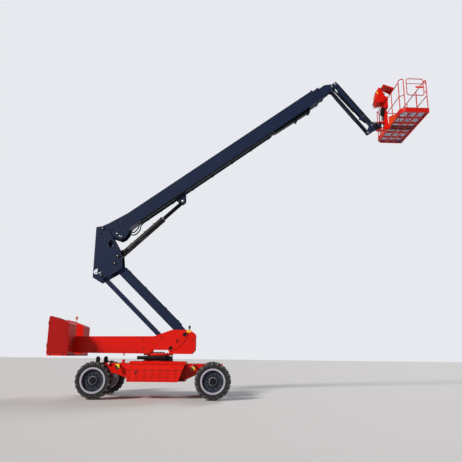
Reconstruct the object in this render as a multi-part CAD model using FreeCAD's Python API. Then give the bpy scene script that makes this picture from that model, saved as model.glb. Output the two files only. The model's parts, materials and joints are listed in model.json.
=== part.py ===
import FreeCAD, Part
import math
import os

V = FreeCAD.Vector

# Articulated self-propelled boom lift on four wheels, in millimetres.
# +X points the way the boom reaches, +Z is up, and the ground is at Z = 0.
# X = 0 is the middle of the wheelbase. The machine stands with its riser half
# raised, its telescope closed and its jib hanging down in front.

# ---------------------------------------------------------------- wheels
TYRE_DIAMETER = 1016.0
TYRE_WIDTH = 355.0
RIM_DIAMETER = 640.0
RIM_FLANGE_DIAMETER = 690.0
OVERALL_WIDTH = 2490.0
WHEELBASE = 3280.0
SPINDLE_RADIUS = 45.0
KINGPIN_OUT = 780.0          # kingpin axis from the middle plane
EAR_RADIUS = 60.0            # axle yoke ears round the kingpin

# ---------------------------------------------------------------- chassis
CHASSIS_END_TOP = 960.0
CHASSIS_MID_TOP = 1020.0
CHASSIS_BOTTOM = 470.0
CHASSIS_HALF_WIDTH = 480.0
CHASSIS_REAR = -WHEELBASE / 2 - 260.0
CHASSIS_FRONT = WHEELBASE / 2 + 290.0
CHASSIS_WALL = 20.0
ARCH_REAR = -780.0           # where the wide middle of the chassis begins
ARCH_FRONT = 850.0
COVER_HALF_WIDTH = 1040.0    # outside face of the side covers
LUG_HOLE_RADIUS = 30.0
LUG_REACH = 75.0             # eye's centre from the end plate
LUG_RISE = 230.0             # above the axles
LUG_SPREAD = 280.0
LUG_THICKNESS = 25.0

# ---------------------------------------------------------------- slewing
SLEW_X = 0.0
SLEW_RADIUS = 430.0
SLEW_BOTTOM = 1045.0
SLEW_TOP = 1190.0

# ---------------------------------------------------------------- turntable
BEAM_BOTTOM = 1240.0
BEAM_INSIDE = 400.0          # inner face of the side plates from the middle
BEAM_PLATE = 25.0
BEAM_FLOOR = 20.0
TAIL_REAR = -2970.0
TAIL_FRONT = -2390.0
TAIL_TOP_REAR = 2255.0
TAIL_TOP_FRONT = 2056.0
TAIL_HALF_WIDTH = 1220.0
SLAB_BOTTOM = 1150.0
SLAB_TOP = 1205.0
POD_WALL = 8.0
DOOR_THICKNESS = 30.0

# ---------------------------------------------------------------- riser
RISER_LENGTH = 3070.0
RISER_ANGLE = 136.1          # from +X towards +Z
RISER_FOOT = (780.0, 1794.0)
LINK_STEP = (-388.0, -380.0)  # lower link's pins from the upper link's
UPPER_LINK_HEIGHT = 270.0
UPPER_LINK_WIDTH = 400.0
LOWER_LINK_HEIGHT = 130.0
LOWER_BAR_INSIDE = 125.0
LOWER_BAR_OUTSIDE = 205.0
LINK_WALL = 10.0
LEVER_RADIUS = 250.0
LEVER_ANGLE = 127.5          # from the link's own direction
RISER_CYLINDER_BASE = (-420.0, 1545.0)
RISER_BARREL_RADIUS = 90.0
RISER_BARREL_LENGTH = 700.0
RISER_ROD_RADIUS = 45.0

# ---------------------------------------------------------------- knuckle
CHEEK_INSIDE = 270.0
CHEEK_PLATE = 30.0
BOOM_PIVOT_STEP = (-443.0, 1079.0)      # from the upper link's head pin
CYLINDER_BASE_STEP = (74.0, 226.0)

# ---------------------------------------------------------------- boom
BOOM_ANGLE = 36.9
BASE_HEIGHT = 430.0
BASE_WIDTH = 420.0
BOOM_WALL = 10.0
STEP = 20.0                  # gap between one section and the next
PAD_CLEARANCE = 0.5
BASE_REAR = 255.0            # distances along the boom from its pivot
BASE_END = 8400.0
MID_REAR = 400.0
MID_END = 8640.0
FLY_REAR = 520.0
FLY_END = 8990.0
ROD_PIN = (2569.0, -653.5)
BOOM_BARREL_RADIUS = 95.0
BOOM_BARREL_LENGTH = 1842.0
BOOM_ROD_RADIUS = 62.0

# ---------------------------------------------------------------- jib
FORK_PIN = (9108.0, -250.0)  # levelled bracket's pin at the fly's end
JIB_PIN_STEP = (137.0, 127.0)            # jib arm's pin from the fork pin
JIB_LINK_STEP = (-141.0, -269.0)         # jib link's pins from the arm's
JIB_LENGTH = 1929.0
JIB_ANGLE = -51.75
JIB_ARM_TOP = 95.0            # faces of the arm from the line of its pins
JIB_ARM_BOTTOM = -40.0
JIB_HALF_WIDTH = 62.0
JIB_BRACKET_INSIDE = JIB_HALF_WIDTH + 6.0
JIB_BRACKET_PLATE = 20.0
JIB_BARREL_RADIUS = 36.0
JIB_ROD_RADIUS = 20.0
JIB_BASE_STEP = (-55.0, -180.0)
JIB_ROD_PIN = (1500.0, -112.0)

# ---------------------------------------------------------------- platform
ROTATOR_STEP = 264.0         # rotator axis ahead of the jib's end pin
PLATFORM_GAP = 330.0         # rotator axis to the platform's near edge
PLATFORM_DEPTH = 910.0
PLATFORM_LENGTH = 2440.0
PLATFORM_DROP = 58.0         # floor underside below the jib's end pin
RAIL_HEIGHT = 1200.0
RAIL_RADIUS = 16.0

PIN_CLEARANCE = 0.4


# ================================================================ helpers
def box(x0, x1, y0, y1, z0, z1):
    return Part.makeBox(x1 - x0, y1 - y0, z1 - z0, V(x0, y0, z0))


def round_y(x, z, radius, y0, y1):
    """A round bar across the machine."""
    return Part.makeCylinder(radius, y1 - y0, V(x, y0, z), V(0, 1, 0))


def bar(p, q, radius):
    """A round bar from point p to point q."""
    p, q = V(*p), V(*q)
    return Part.makeCylinder(radius, (q - p).Length, p, q - p)


def corner_wire(points, radii):
    """A closed wire through the points, with each corner rounded."""
    count = len(points)
    starts, ends, arcs = [], [], []
    for i, point in enumerate(points):
        here = V(*point)
        before = V(*points[i - 1]) - here
        after = V(*points[(i + 1) % count]) - here
        radius = radii[i]
        if radius <= 0:
            starts.append(here)
            ends.append(here)
            arcs.append(None)
            continue
        half = before.getAngle(after) / 2
        reach = radius / math.tan(half)
        first = here + before.normalize() * reach
        last = here + after.normalize() * reach
        middle = (before + after).normalize()
        top = here + middle * (radius / math.sin(half) - radius)
        starts.append(first)
        ends.append(last)
        arcs.append(Part.Arc(first, top, last).toShape())
    edges = []
    for i in range(count):
        if arcs[i]:
            edges.append(arcs[i])
        follow = starts[(i + 1) % count]
        if (follow - ends[i]).Length > 0.01:
            edges.append(Part.LineSegment(ends[i], follow).toShape())
    return Part.Wire(edges)


def plate(points, y0, y1, radius=0.0):
    """A side plate: an outline in X and Z, from y0 to y1."""
    radii = radius if isinstance(radius, (list, tuple)) else [radius] * len(points)
    wire = corner_wire([(x, y0, z) for x, z in points], radii)
    return Part.Face(wire).extrude(V(0, y1 - y0, 0))


def flat_plate(points, z0, z1, radius=0.0):
    """A level plate: an outline in X and Y, from z0 to z1."""
    radii = radius if isinstance(radius, (list, tuple)) else [radius] * len(points)
    wire = corner_wire([(x, y, z0) for x, y in points], radii)
    return Part.Face(wire).extrude(V(0, 0, z1 - z0))


def join(shapes):
    result = shapes[0]
    if len(shapes) > 1:
        result = shapes[0].fuse(shapes[1:])
    return result.removeSplitter()


def mirrored(shape):
    return shape.mirror(V(0, 0, 0), V(0, 1, 0))


def pair(shape):
    """The same piece on both sides."""
    return [shape, mirrored(shape)]


def placed(shape, pivot, angle):
    """Move a piece drawn along +X from its pin to its place on the machine."""
    turn = FreeCAD.Rotation(V(0, -1, 0), angle)
    move = FreeCAD.Placement(V(pivot[0], 0, pivot[1]), turn)
    copy = shape.copy()
    copy.Placement = move.multiply(copy.Placement)
    return copy


def along(origin, angle, point):
    """Where a point of a turned piece lies on the machine."""
    turn = math.radians(angle)
    s, n = point
    x = origin[0] + s * math.cos(turn) - n * math.sin(turn)
    z = origin[1] + s * math.sin(turn) + n * math.cos(turn)
    return (x, z)


def moved(point, step):
    return (point[0] + step[0], point[1] + step[1])


def distance(p, q):
    return math.hypot(q[0] - p[0], q[1] - p[1])


def slope(p, q):
    return math.degrees(math.atan2(q[1] - p[1], q[0] - p[0]))


def write(name, shape):
    if isinstance(shape, list):
        shape = Part.makeCompound(shape)
    shape.exportStep("parts/%s.step" % name)


# ================================================================ layout
AXLE_Z = TYRE_DIAMETER / 2
STEER_X = -WHEELBASE / 2
DRIVE_X = WHEELBASE / 2
WHEEL_OUT = OVERALL_WIDTH / 2
WHEEL_IN = WHEEL_OUT - TYRE_WIDTH

UPPER_FOOT = RISER_FOOT
LOWER_FOOT = moved(UPPER_FOOT, LINK_STEP)
UPPER_HEAD = along(UPPER_FOOT, RISER_ANGLE, (RISER_LENGTH, 0))
LOWER_HEAD = moved(UPPER_HEAD, LINK_STEP)
BOOM_PIVOT = moved(UPPER_HEAD, BOOM_PIVOT_STEP)
CYLINDER_BASE = moved(UPPER_HEAD, CYLINDER_BASE_STEP)
ROD_PIN_PLACE = along(BOOM_PIVOT, BOOM_ANGLE, ROD_PIN)
FORK_PLACE = along(BOOM_PIVOT, BOOM_ANGLE, FORK_PIN)
JIB_FOOT = moved(FORK_PLACE, JIB_PIN_STEP)
JIB_LINK_FOOT = moved(JIB_FOOT, JIB_LINK_STEP)
JIB_HEAD = along(JIB_FOOT, JIB_ANGLE, (JIB_LENGTH, 0))
JIB_LINK_HEAD = moved(JIB_HEAD, JIB_LINK_STEP)
JIB_BASE = moved(JIB_FOOT, JIB_BASE_STEP)
JIB_ROD_PLACE = along(JIB_FOOT, JIB_ANGLE, JIB_ROD_PIN)
ROTATOR_X = JIB_HEAD[0] + ROTATOR_STEP
PLATFORM_X = ROTATOR_X + PLATFORM_GAP
PLATFORM_Z = JIB_HEAD[1] - PLATFORM_DROP
LEVER_PIN = along(UPPER_FOOT, RISER_ANGLE + LEVER_ANGLE, (LEVER_RADIUS, 0))


# ================================================================ wheels
def tyre(x, side):
    """Solid-shouldered tyre: a turned section with round shoulders."""
    outer, inner = TYRE_DIAMETER / 2, RIM_DIAMETER / 2
    bead = 30.0
    points = [
        (inner, bead), (inner + 40, 4.0), (outer - 60, 0.0), (outer, 45.0),
        (outer, TYRE_WIDTH - 45.0), (outer - 60, TYRE_WIDTH),
        (inner + 40, TYRE_WIDTH - 4.0), (inner, TYRE_WIDTH - bead),
    ]
    radii = [0, 30, 40, 35, 35, 40, 30, 0]
    wire = corner_wire([(r, y, 0) for r, y in points], radii)
    ring = Part.Face(wire).revolve(V(0, 0, 0), V(0, 1, 0), 360)
    ring.translate(V(x, WHEEL_IN, AXLE_Z))
    return ring if side > 0 else mirrored(ring)


def rim(x, side):
    """Rim barrel with both flanges, a dished disc and the hub in one."""
    seat, flange = RIM_DIAMETER / 2, RIM_FLANGE_DIAMETER / 2
    bead, disc, thick = 30.0, 215.0, 16.0
    hub, deep = 120.0, 12.0
    outside = TYRE_WIDTH - 40.0
    bore = SPINDLE_RADIUS + PIN_CLEARANCE
    profile = [
        (seat - 20, 2.0), (flange, 2.0), (flange, 12.0), (seat, bead),
        (seat, TYRE_WIDTH - bead), (flange, TYRE_WIDTH - 12.0),
        (flange, TYRE_WIDTH - 2.0), (seat - 20, TYRE_WIDTH - 2.0),
        (seat - 20, disc + thick), (hub + 90, disc + thick + 25), (hub, disc + thick + 25),
        (hub, outside - 20), (hub - 20, outside), (0, outside),
        (0, outside - 40), (bore, outside - 40), (bore, deep),
        (hub, deep), (hub, disc + 25), (hub + 80, disc + 25), (seat - 20, disc),
    ]
    wire = Part.makePolygon([V(r, y, 0) for r, y in profile + profile[:1]])
    body = Part.Face(wire).revolve(V(0, 0, 0), V(0, 1, 0), 360)
    nuts = []
    for i in range(10):
        turn = 2 * math.pi * (i + 0.5) / 10
        cx, cz = 165 * math.cos(turn), 165 * math.sin(turn)
        nut = Part.makeCylinder(13, 30, V(cx, disc + thick + 20, cz), V(0, 1, 0))
        nuts.append(nut)
    body = join([body] + nuts)
    body.translate(V(x, WHEEL_IN, AXLE_Z))
    return body if side > 0 else mirrored(body)


def spindle(length_in):
    """Fixed stub that carries a wheel, from the backing plate outwards."""
    tip = WHEEL_OUT - 40.0 - 40.0 - 6.0
    stub = Part.makeCylinder(SPINDLE_RADIUS, tip - length_in, V(0, length_in, 0), V(0, 1, 0))
    drum = Part.makeCylinder(150, 22, V(0, WHEEL_IN - 26, 0), V(0, 1, 0))
    return join([stub, drum])


def steer_knuckle(side):
    block_half = 68.0
    body = Part.makeCylinder(EAR_RADIUS - 2, 2 * block_half, V(0, KINGPIN_OUT, -block_half))
    arm = box(-50, 50, KINGPIN_OUT, WHEEL_IN - 20, -block_half, block_half)
    lever = box(-190, 0, KINGPIN_OUT - 5, KINGPIN_OUT + 45, -20, 20)
    shape = join([body, arm, lever, spindle(WHEEL_IN - 26)])
    bore = Part.makeCylinder(28 + PIN_CLEARANCE, 400, V(0, KINGPIN_OUT, -200))
    shape = shape.cut(bore)
    shape.translate(V(STEER_X, 0, AXLE_Z))
    return shape if side > 0 else mirrored(shape)


# ================================================================ chassis
def chassis_frame():
    middle = box(ARCH_REAR, ARCH_FRONT, -CHASSIS_HALF_WIDTH, CHASSIS_HALF_WIDTH,
                 CHASSIS_BOTTOM, CHASSIS_MID_TOP)
    tunnel = box(ARCH_REAR - 1, ARCH_FRONT + 1, -CHASSIS_HALF_WIDTH + CHASSIS_WALL,
                 CHASSIS_HALF_WIDTH - CHASSIS_WALL, CHASSIS_BOTTOM + CHASSIS_WALL,
                 CHASSIS_MID_TOP - CHASSIS_WALL)
    middle = middle.cut(tunnel)
    pieces = [middle]
    for x in (ARCH_REAR, ARCH_FRONT - CHASSIS_WALL):
        pieces.append(box(x, x + CHASSIS_WALL, -CHASSIS_HALF_WIDTH, CHASSIS_HALF_WIDTH,
                          CHASSIS_BOTTOM, CHASSIS_MID_TOP))
    for x0, x1 in ((CHASSIS_REAR, ARCH_REAR), (ARCH_FRONT, CHASSIS_FRONT)):
        inner = x1 if x0 == CHASSIS_REAR else x0
        outer = x0 if x0 == CHASSIS_REAR else x1
        low = AXLE_Z + 170
        web = [
            (inner, CHASSIS_BOTTOM + 40), (inner, CHASSIS_MID_TOP - 60),
            (inner + (outer - inner) * 0.12, CHASSIS_END_TOP), (outer, CHASSIS_END_TOP),
            (outer, low), (inner + (outer - inner) * 0.35, low),
        ]
        rail = plate(web, CHASSIS_HALF_WIDTH - 100, CHASSIS_HALF_WIDTH - 70, 0)
        pieces += pair(rail)
        top_x = sorted((inner + (outer - inner) * 0.12, outer))
        pieces.append(box(top_x[0], top_x[1], -CHASSIS_HALF_WIDTH + 70,
                          CHASSIS_HALF_WIDTH - 70, CHASSIS_END_TOP - 20, CHASSIS_END_TOP))
        end = sorted((outer, outer - math.copysign(25, outer)))
        pieces.append(box(end[0], end[1], -CHASSIS_HALF_WIDTH + 70,
                          CHASSIS_HALF_WIDTH - 70, low, CHASSIS_END_TOP))
        pieces += lashing_lugs(outer)
    ring_seat = Part.makeCylinder(SLEW_RADIUS, SLEW_BOTTOM - CHASSIS_MID_TOP,
                                  V(SLEW_X, 0, CHASSIS_MID_TOP))
    pieces.append(ring_seat)
    for x in (STEER_X - 160, STEER_X + 126):
        pieces.append(box(x, x + 34, -90, 90, AXLE_Z + 70, CHASSIS_END_TOP - 10))
    pieces.append(round_x(STEER_X - 165, STEER_X + 165, 0, AXLE_Z + 130, 40))
    for x in (DRIVE_X,):
        for y in (-300, 300):
            pieces.append(box(x - 90, x + 90, y - 60, y + 60, AXLE_Z + 100, CHASSIS_END_TOP - 10))
    socket = Part.makeCylinder(42, 120, V(SLEW_X - 970, -CHASSIS_HALF_WIDTH + 110,
                                          CHASSIS_END_TOP - 15))
    pieces.append(socket)
    return join(pieces)


def round_x(x0, x1, y, z, radius):
    return Part.makeCylinder(radius, x1 - x0, V(x0, y, z), V(1, 0, 0))


def lashing_lugs(end_x):
    """Two level tie-down eyes on the end plate."""
    sign = math.copysign(1, end_x)
    reach = end_x + sign * LUG_REACH
    z = AXLE_Z + LUG_RISE
    pieces = []
    for y in (-LUG_SPREAD, LUG_SPREAD):
        outline = [(end_x - sign * 10, y - 75), (reach + sign * 20, y - 65),
                   (reach + sign * 55, y - 30), (reach + sign * 55, y + 30),
                   (reach + sign * 20, y + 65), (end_x - sign * 10, y + 75)]
        lug = flat_plate(outline, z - LUG_THICKNESS / 2, z + LUG_THICKNESS / 2)
        hole = Part.makeCylinder(LUG_HOLE_RADIUS, 200, V(reach, y, z - 100))
        pieces.append(lug.cut(hole))
    return pieces


def side_cover(side):
    """Sheet cover beside the chassis, with a sloped shoulder and a raked end."""
    inner = CHASSIS_HALF_WIDTH
    out = COVER_HALF_WIDTH
    z0, z1, shoulder = CHASSIS_BOTTOM, 920.0, 800.0
    section = [(inner, z0), (out, z0), (out, shoulder), (out - 90, z1), (inner, CHASSIS_END_TOP)]
    wall = 12.0
    hollow = [(inner - 1, z0 + wall), (out - wall, z0 + wall), (out - wall, shoulder - 3),
              (out - 95, z1 - wall), (inner - 1, CHASSIS_END_TOP - wall)]
    x0, x1 = ARCH_REAR + 23, ARCH_FRONT

    def prism(points, xa, xb):
        wire = Part.makePolygon([V(xa, y, z) for y, z in points + points[:1]])
        return Part.Face(wire).extrude(V(xb - xa, 0, 0))

    body = prism(section, x0, x1).cut(prism(hollow, x0 + wall, x1 - wall))
    rake = plate([(x1 - 190, z0 - 5), (x1 + 5, z0 - 5), (x1 + 5, z1 + 60)], inner + 150, out + 5)
    body = body.cut(rake)
    slot = box(x0 + 240, x0 + 270, out - 20, out + 5, shoulder - 140, shoulder - 40)
    body = body.cut(slot)
    return body if side > 0 else mirrored(body)


def steer_axle():
    """Oscillating beam with a yoke for each kingpin."""
    beam_end = KINGPIN_OUT - 80
    beam = box(-90, 90, -beam_end, beam_end, -95, 85)
    pivot = Part.makeCylinder(75, 240, V(-120, 0, 130), V(1, 0, 0))
    neck = box(-85, 85, -110, 110, 0, 110)
    pieces = [beam, pivot, neck]
    for side in (-1, 1):
        for low, high in ((-118, -70), (70, 118)):
            ear = Part.makeCylinder(EAR_RADIUS, high - low, V(0, side * KINGPIN_OUT, low))
            y = sorted((side * (KINGPIN_OUT - 110), side * KINGPIN_OUT))
            pieces += [ear, box(-EAR_RADIUS, EAR_RADIUS, y[0], y[1], low, high)]
        y = sorted((side * (KINGPIN_OUT - 110), side * (KINGPIN_OUT - 70)))
        pieces.append(box(-80, 80, y[0], y[1], -118, 118))
        pin = Part.makeCylinder(28, 250, V(0, side * KINGPIN_OUT, -125))
        pieces.append(pin)
    shape = join(pieces)
    shape = shape.cut(Part.makeCylinder(40 + PIN_CLEARANCE, 300, V(-150, 0, 130), V(1, 0, 0)))
    shape.translate(V(STEER_X, 0, AXLE_Z))
    return shape


def drive_axle():
    tube = Part.makeCylinder(95, 2 * (WHEEL_IN - 26), V(0, -(WHEEL_IN - 26), 0), V(0, 1, 0))
    bowl = Part.makeSphere(190, V(0, 0, 0))
    nose = Part.makeCylinder(80, 260, V(-260, 0, 0), V(1, 0, 0))
    pads = [box(-90, 90, y - 60, y + 60, 0, 100) for y in (-300, 300)]
    stubs = [spindle(WHEEL_IN - 26), mirrored(spindle(WHEEL_IN - 26))]
    shape = join([tube, bowl, nose] + pads + stubs)
    shape.translate(V(DRIVE_X, 0, AXLE_Z))
    return shape


def axle_lock_cylinders():
    """Two upright cylinders that lock the oscillating axle."""
    solids = []
    for side in (-1, 1):
        y = side * 560
        low = AXLE_Z + 85
        foot = Part.makeCylinder(38, 300, V(STEER_X - 30, y, low))
        barrel = Part.makeCylinder(62, 330, V(STEER_X - 30, y, low + 190))
        inner = side * (CHASSIS_HALF_WIDTH - 70)
        ys = sorted((inner, y))
        arm = box(STEER_X - 105, STEER_X + 45, ys[0], ys[1], CHASSIS_END_TOP - 60, CHASSIS_END_TOP)
        cap = Part.makeCylinder(45, 30, V(STEER_X - 30, y, low + 520))
        solids.append(join([foot, barrel, arm, cap]))
    return solids


def slew_drive():
    """Slewing ring housing with its worm tube and motor."""
    height = SLEW_TOP - SLEW_BOTTOM
    ring = Part.makeCylinder(SLEW_RADIUS, height - 15, V(0, 0, 0))
    lip = Part.makeCylinder(SLEW_RADIUS + 15, 35, V(0, 0, 12))
    ring = join([ring, lip]).cut(Part.makeCylinder(330, height, V(0, 0, 0)))
    worm = Part.makeCylinder(60, 460, V(-230, -SLEW_RADIUS - 10, height / 2 + 2), V(1, 0, 0))
    worm = worm.cut(Part.makeCylinder(331, height * 2, V(0, 0, -10)))
    motor = Part.makeCylinder(50, 350, V(-570, -SLEW_RADIUS - 10, height / 2 + 2), V(1, 0, 0))
    shape = join([ring, worm, motor])
    shape.translate(V(SLEW_X, 0, SLEW_BOTTOM))
    return shape


# ================================================================ turntable
def beam_plate():
    """Side plate of the turntable beam, from the tail to the raised nose."""
    nose = 1110.0
    foot_x, foot_z = UPPER_FOOT
    top = foot_z + 141
    outline = [
        (TAIL_REAR + 20, BEAM_BOTTOM), (nose - 104, BEAM_BOTTOM), (nose, 1356), (nose, foot_z + 22),
        (foot_x + 160, top), (foot_x - 370, top), (-100, 1740), (TAIL_REAR + 20, 1700),
    ]
    radii = [0, 10, 30, 60, 40, 200, 300, 0]
    shape = plate(outline, BEAM_INSIDE, BEAM_INSIDE + BEAM_PLATE, radii)
    arch_left, arch_right, arch_top = SLEW_X - 200, SLEW_X + 350, BEAM_BOTTOM + 110
    arch = plate([(arch_left, BEAM_BOTTOM - 5), (arch_right, BEAM_BOTTOM - 5),
                  (arch_right, arch_top), (arch_left, arch_top)],
                 BEAM_INSIDE - 5, BEAM_INSIDE + BEAM_PLATE + 5, [0, 0, 90, 25])
    return shape.cut(arch)


def pin_doubler():
    """Lens-shaped doubler that ties both riser pins together."""
    middle = ((UPPER_FOOT[0] + LOWER_FOOT[0]) / 2, (UPPER_FOOT[1] + LOWER_FOOT[1]) / 2)
    half = distance(UPPER_FOOT, LOWER_FOOT) / 2
    reach, width, blunt = half + 105, 150.0, 62.0
    y0, y1 = BEAM_INSIDE + BEAM_PLATE, BEAM_INSIDE + BEAM_PLATE + 18
    tips = [V(-reach, y0, -blunt), V(-reach, y0, blunt), V(reach, y0, blunt), V(reach, y0, -blunt)]
    edges = [
        Part.LineSegment(tips[0], tips[1]).toShape(),
        Part.Arc(tips[1], V(0, y0, width), tips[2]).toShape(),
        Part.LineSegment(tips[2], tips[3]).toShape(),
        Part.Arc(tips[3], V(0, y0, -width), tips[0]).toShape(),
    ]
    lens = Part.Face(Part.Wire(edges)).extrude(V(0, y1 - y0, 0))
    lens = lens.cut(round_y(0, 0, 42, y0 - 5, y1 + 5))
    return placed(lens, middle, slope(LOWER_FOOT, UPPER_FOOT))


def turntable_frame():
    side = join([beam_plate(), pin_doubler()])
    pieces = pair(side)
    pieces.append(box(-1950, 1010, -BEAM_INSIDE - 1, BEAM_INSIDE + 1,
                      BEAM_BOTTOM - 2, BEAM_BOTTOM - 2 + BEAM_FLOOR))
    pieces.append(box(1078, 1098, -BEAM_INSIDE - 1, BEAM_INSIDE + 1, 1356, 1800))
    pieces.append(Part.makeCylinder(SLEW_RADIUS + 10, BEAM_BOTTOM - SLEW_TOP,
                                    V(SLEW_X, 0, SLEW_TOP)))
    inner_ring = Part.makeCylinder(330 - PIN_CLEARANCE, SLEW_TOP - SLEW_BOTTOM - 5,
                                   V(SLEW_X, 0, SLEW_BOTTOM + 10))
    inner_ring = inner_ring.cut(Part.makeCylinder(250, 400, V(SLEW_X, 0, SLEW_BOTTOM - 10)))
    pieces.append(inner_ring)
    out = BEAM_INSIDE + BEAM_PLATE + 18
    pieces.append(round_y(UPPER_FOOT[0], UPPER_FOOT[1], 45, -out - 14, out + 14))
    for stub in pair(round_y(LOWER_FOOT[0], LOWER_FOOT[1], 40, LOWER_BAR_INSIDE - 10, out + 14)):
        pieces.append(stub)
    base_x, base_z = RISER_CYLINDER_BASE
    for y in (75, -100):
        ear = plate([(base_x - 110, BEAM_BOTTOM - 5), (base_x + 150, BEAM_BOTTOM - 5),
                     (base_x + 70, base_z + 60), (base_x - 70, base_z + 60)], y, y + 25, 0)
        pieces.append(ear)
    pieces.append(round_y(base_x, base_z, 35, -112, 112))
    lock = Part.makeCylinder(18, 75, V(SLEW_X - 970, -CHASSIS_HALF_WIDTH + 110, BEAM_BOTTOM - 70))
    pieces.append(lock)
    return join(pieces)


def pod_outline(inset):
    """Side outline of a tail pod, with its sloped top."""
    return [
        (TAIL_REAR + inset, SLAB_TOP + inset * 0), (TAIL_FRONT - inset, SLAB_TOP),
        (TAIL_FRONT - inset, TAIL_TOP_FRONT - inset), (TAIL_REAR + inset, TAIL_TOP_REAR - inset),
    ]


def tail_pod(side):
    inner = BEAM_INSIDE + BEAM_PLATE + PIN_CLEARANCE
    outer = TAIL_HALF_WIDTH - DOOR_THICKNESS - PIN_CLEARANCE
    radii = [0, 0, 45, 60]
    shell = plate(pod_outline(0), inner, outer, radii)
    hollow = plate([(x, z - (5 if i < 2 else 0)) for i, (x, z) in enumerate(pod_outline(POD_WALL))],
                   inner + POD_WALL, outer + 5, [0, 0, 37, 52])
    shell = shell.cut(hollow)
    lip = box(TAIL_REAR + 1, TAIL_REAR + POD_WALL, outer - 20, outer, SLAB_TOP, 2100)
    shell = join([shell, lip])
    return shell if side > 0 else mirrored(shell)


def tail_door(side):
    inner = TAIL_HALF_WIDTH - DOOR_THICKNESS
    radii = [20, 20, 45, 60]
    door = plate([(x, z + (4 if i < 2 else 0)) for i, (x, z) in enumerate(pod_outline(0))],
                 inner, TAIL_HALF_WIDTH, radii)
    door = door.cut(box(TAIL_REAR - 5, TAIL_REAR + 12, inner - 5, TAIL_HALF_WIDTH + 5,
                        SLAB_BOTTOM, TAIL_TOP_REAR))
    for z in (SLAB_TOP + 180, TAIL_TOP_REAR - 260):
        door = join([door, Part.makeCylinder(11, 90, V(TAIL_REAR + 8, TAIL_HALF_WIDTH + 4, z))])
    handle = box(TAIL_FRONT - 75, TAIL_FRONT - 50, TAIL_HALF_WIDTH - 2, TAIL_HALF_WIDTH + 12,
                 1600, 1720)
    door = join([door, handle])
    return door if side > 0 else mirrored(door)


def counterweight():
    """Cast slab under the tail and the two cast blocks that stand on it."""
    slab = flat_plate([(TAIL_REAR + 10, -TAIL_HALF_WIDTH), (TAIL_FRONT + 10, -TAIL_HALF_WIDTH),
                       (TAIL_FRONT + 10, TAIL_HALF_WIDTH), (TAIL_REAR + 10, TAIL_HALF_WIDTH)],
                      SLAB_BOTTOM, SLAB_TOP - PIN_CLEARANCE, 60)
    rise = BEAM_INSIDE + BEAM_PLATE
    ties = [box(TAIL_REAR + 30, TAIL_FRONT - 20, y, y + BEAM_PLATE, SLAB_TOP - 5, BEAM_BOTTOM)
            for y in (BEAM_INSIDE, -rise)]
    blocks = pair(box(TAIL_REAR + 60, TAIL_FRONT - 60, rise + 40, TAIL_HALF_WIDTH - 90,
                      SLAB_TOP - 5, 1930))
    return join([slab] + ties + blocks)


def beacon():
    x, y = -2730.0, 800.0
    share = (x - TAIL_REAR) / (TAIL_FRONT - TAIL_REAR)
    seat = TAIL_TOP_REAR + (TAIL_TOP_FRONT - TAIL_TOP_REAR) * share
    profile = [(0, -14), (30, -14), (30, 14), (9, 14), (9, 100), (38, 100), (38, 140), (34, 140),
               (34, 172), (24, 196), (0, 206)]
    wire = Part.makePolygon([V(r, 0, z) for r, z in profile + profile[:1]])
    lamp = Part.Face(wire).revolve(V(0, 0, 0), V(0, 0, 1), 360)
    lamp.translate(V(x, y, seat))
    return lamp.cut(plate(pod_outline(0), y - 60, y + 60))


# ================================================================ riser
def hollow_link(length, height, width, end_radius, port_at):
    """Box link between two pins, hollow, with an inspection port below."""
    half = height / 2
    outline = [
        (0, -end_radius), (260, -half), (length - 260, -half), (length, -end_radius),
        (length + end_radius, 0), (length, end_radius), (length - 260, half), (260, half),
        (0, end_radius), (-end_radius, 0),
    ]
    middle = plate([outline[1], outline[2], outline[6], outline[7]], -width / 2, width / 2)
    inside = box(270, length - 270, -width / 2 + LINK_WALL, width / 2 - LINK_WALL,
                 -half + LINK_WALL, half - LINK_WALL)
    port = Part.makeCylinder(60, 60, V(port_at, 0, half - 30))
    shell = middle.cut(inside).cut(port)
    ends = []
    for x0, x1, centre in ((0, 262, 0), (length - 262, length, length)):
        wedge = [(x0, -end_radius if x0 == 0 else -half), (x1, -half if x0 == 0 else -end_radius),
                 (x1, half if x0 == 0 else end_radius), (x0, end_radius if x0 == 0 else half)]
        ends.append(plate(wedge, -width / 2, width / 2))
        ends.append(round_y(centre, 0, end_radius, -width / 2, width / 2))
    return join([shell] + ends)


def riser_upper_link():
    foot_bore, head_bore = 45 + PIN_CLEARANCE, 42 + PIN_CLEARANCE
    link = hollow_link(RISER_LENGTH, UPPER_LINK_HEIGHT, UPPER_LINK_WIDTH, 120, 1500)
    tube_half = BEAM_INSIDE - 10
    foot_tube = round_y(0, 0, 90, -tube_half, tube_half)
    head_tube = round_y(RISER_LENGTH, 0, 85, -CHEEK_INSIDE + 8, CHEEK_INSIDE - 8)
    lever_pin = along((0, 0), LEVER_ANGLE, (LEVER_RADIUS, 0))
    levers = []
    for y in (52, -77):
        blade = plate([(-110, 0), (110, 0), (55, LEVER_RADIUS + 30), (-55, LEVER_RADIUS + 30)],
                      y, y + 25, [0, 0, 50, 50])
        levers.append(placed(blade, (0, 0), LEVER_ANGLE - 90))
    stubs = [round_y(lever_pin[0], lever_pin[1], 34, 50, 84),
             round_y(lever_pin[0], lever_pin[1], 34, -84, -50)]
    body = join([link, foot_tube, head_tube] + levers + stubs)
    body = body.cut(round_y(0, 0, foot_bore, -tube_half - 1, tube_half + 1))
    body = body.cut(round_y(RISER_LENGTH, 0, head_bore, -CHEEK_INSIDE, CHEEK_INSIDE))
    return placed(body, UPPER_FOOT, RISER_ANGLE)


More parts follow.
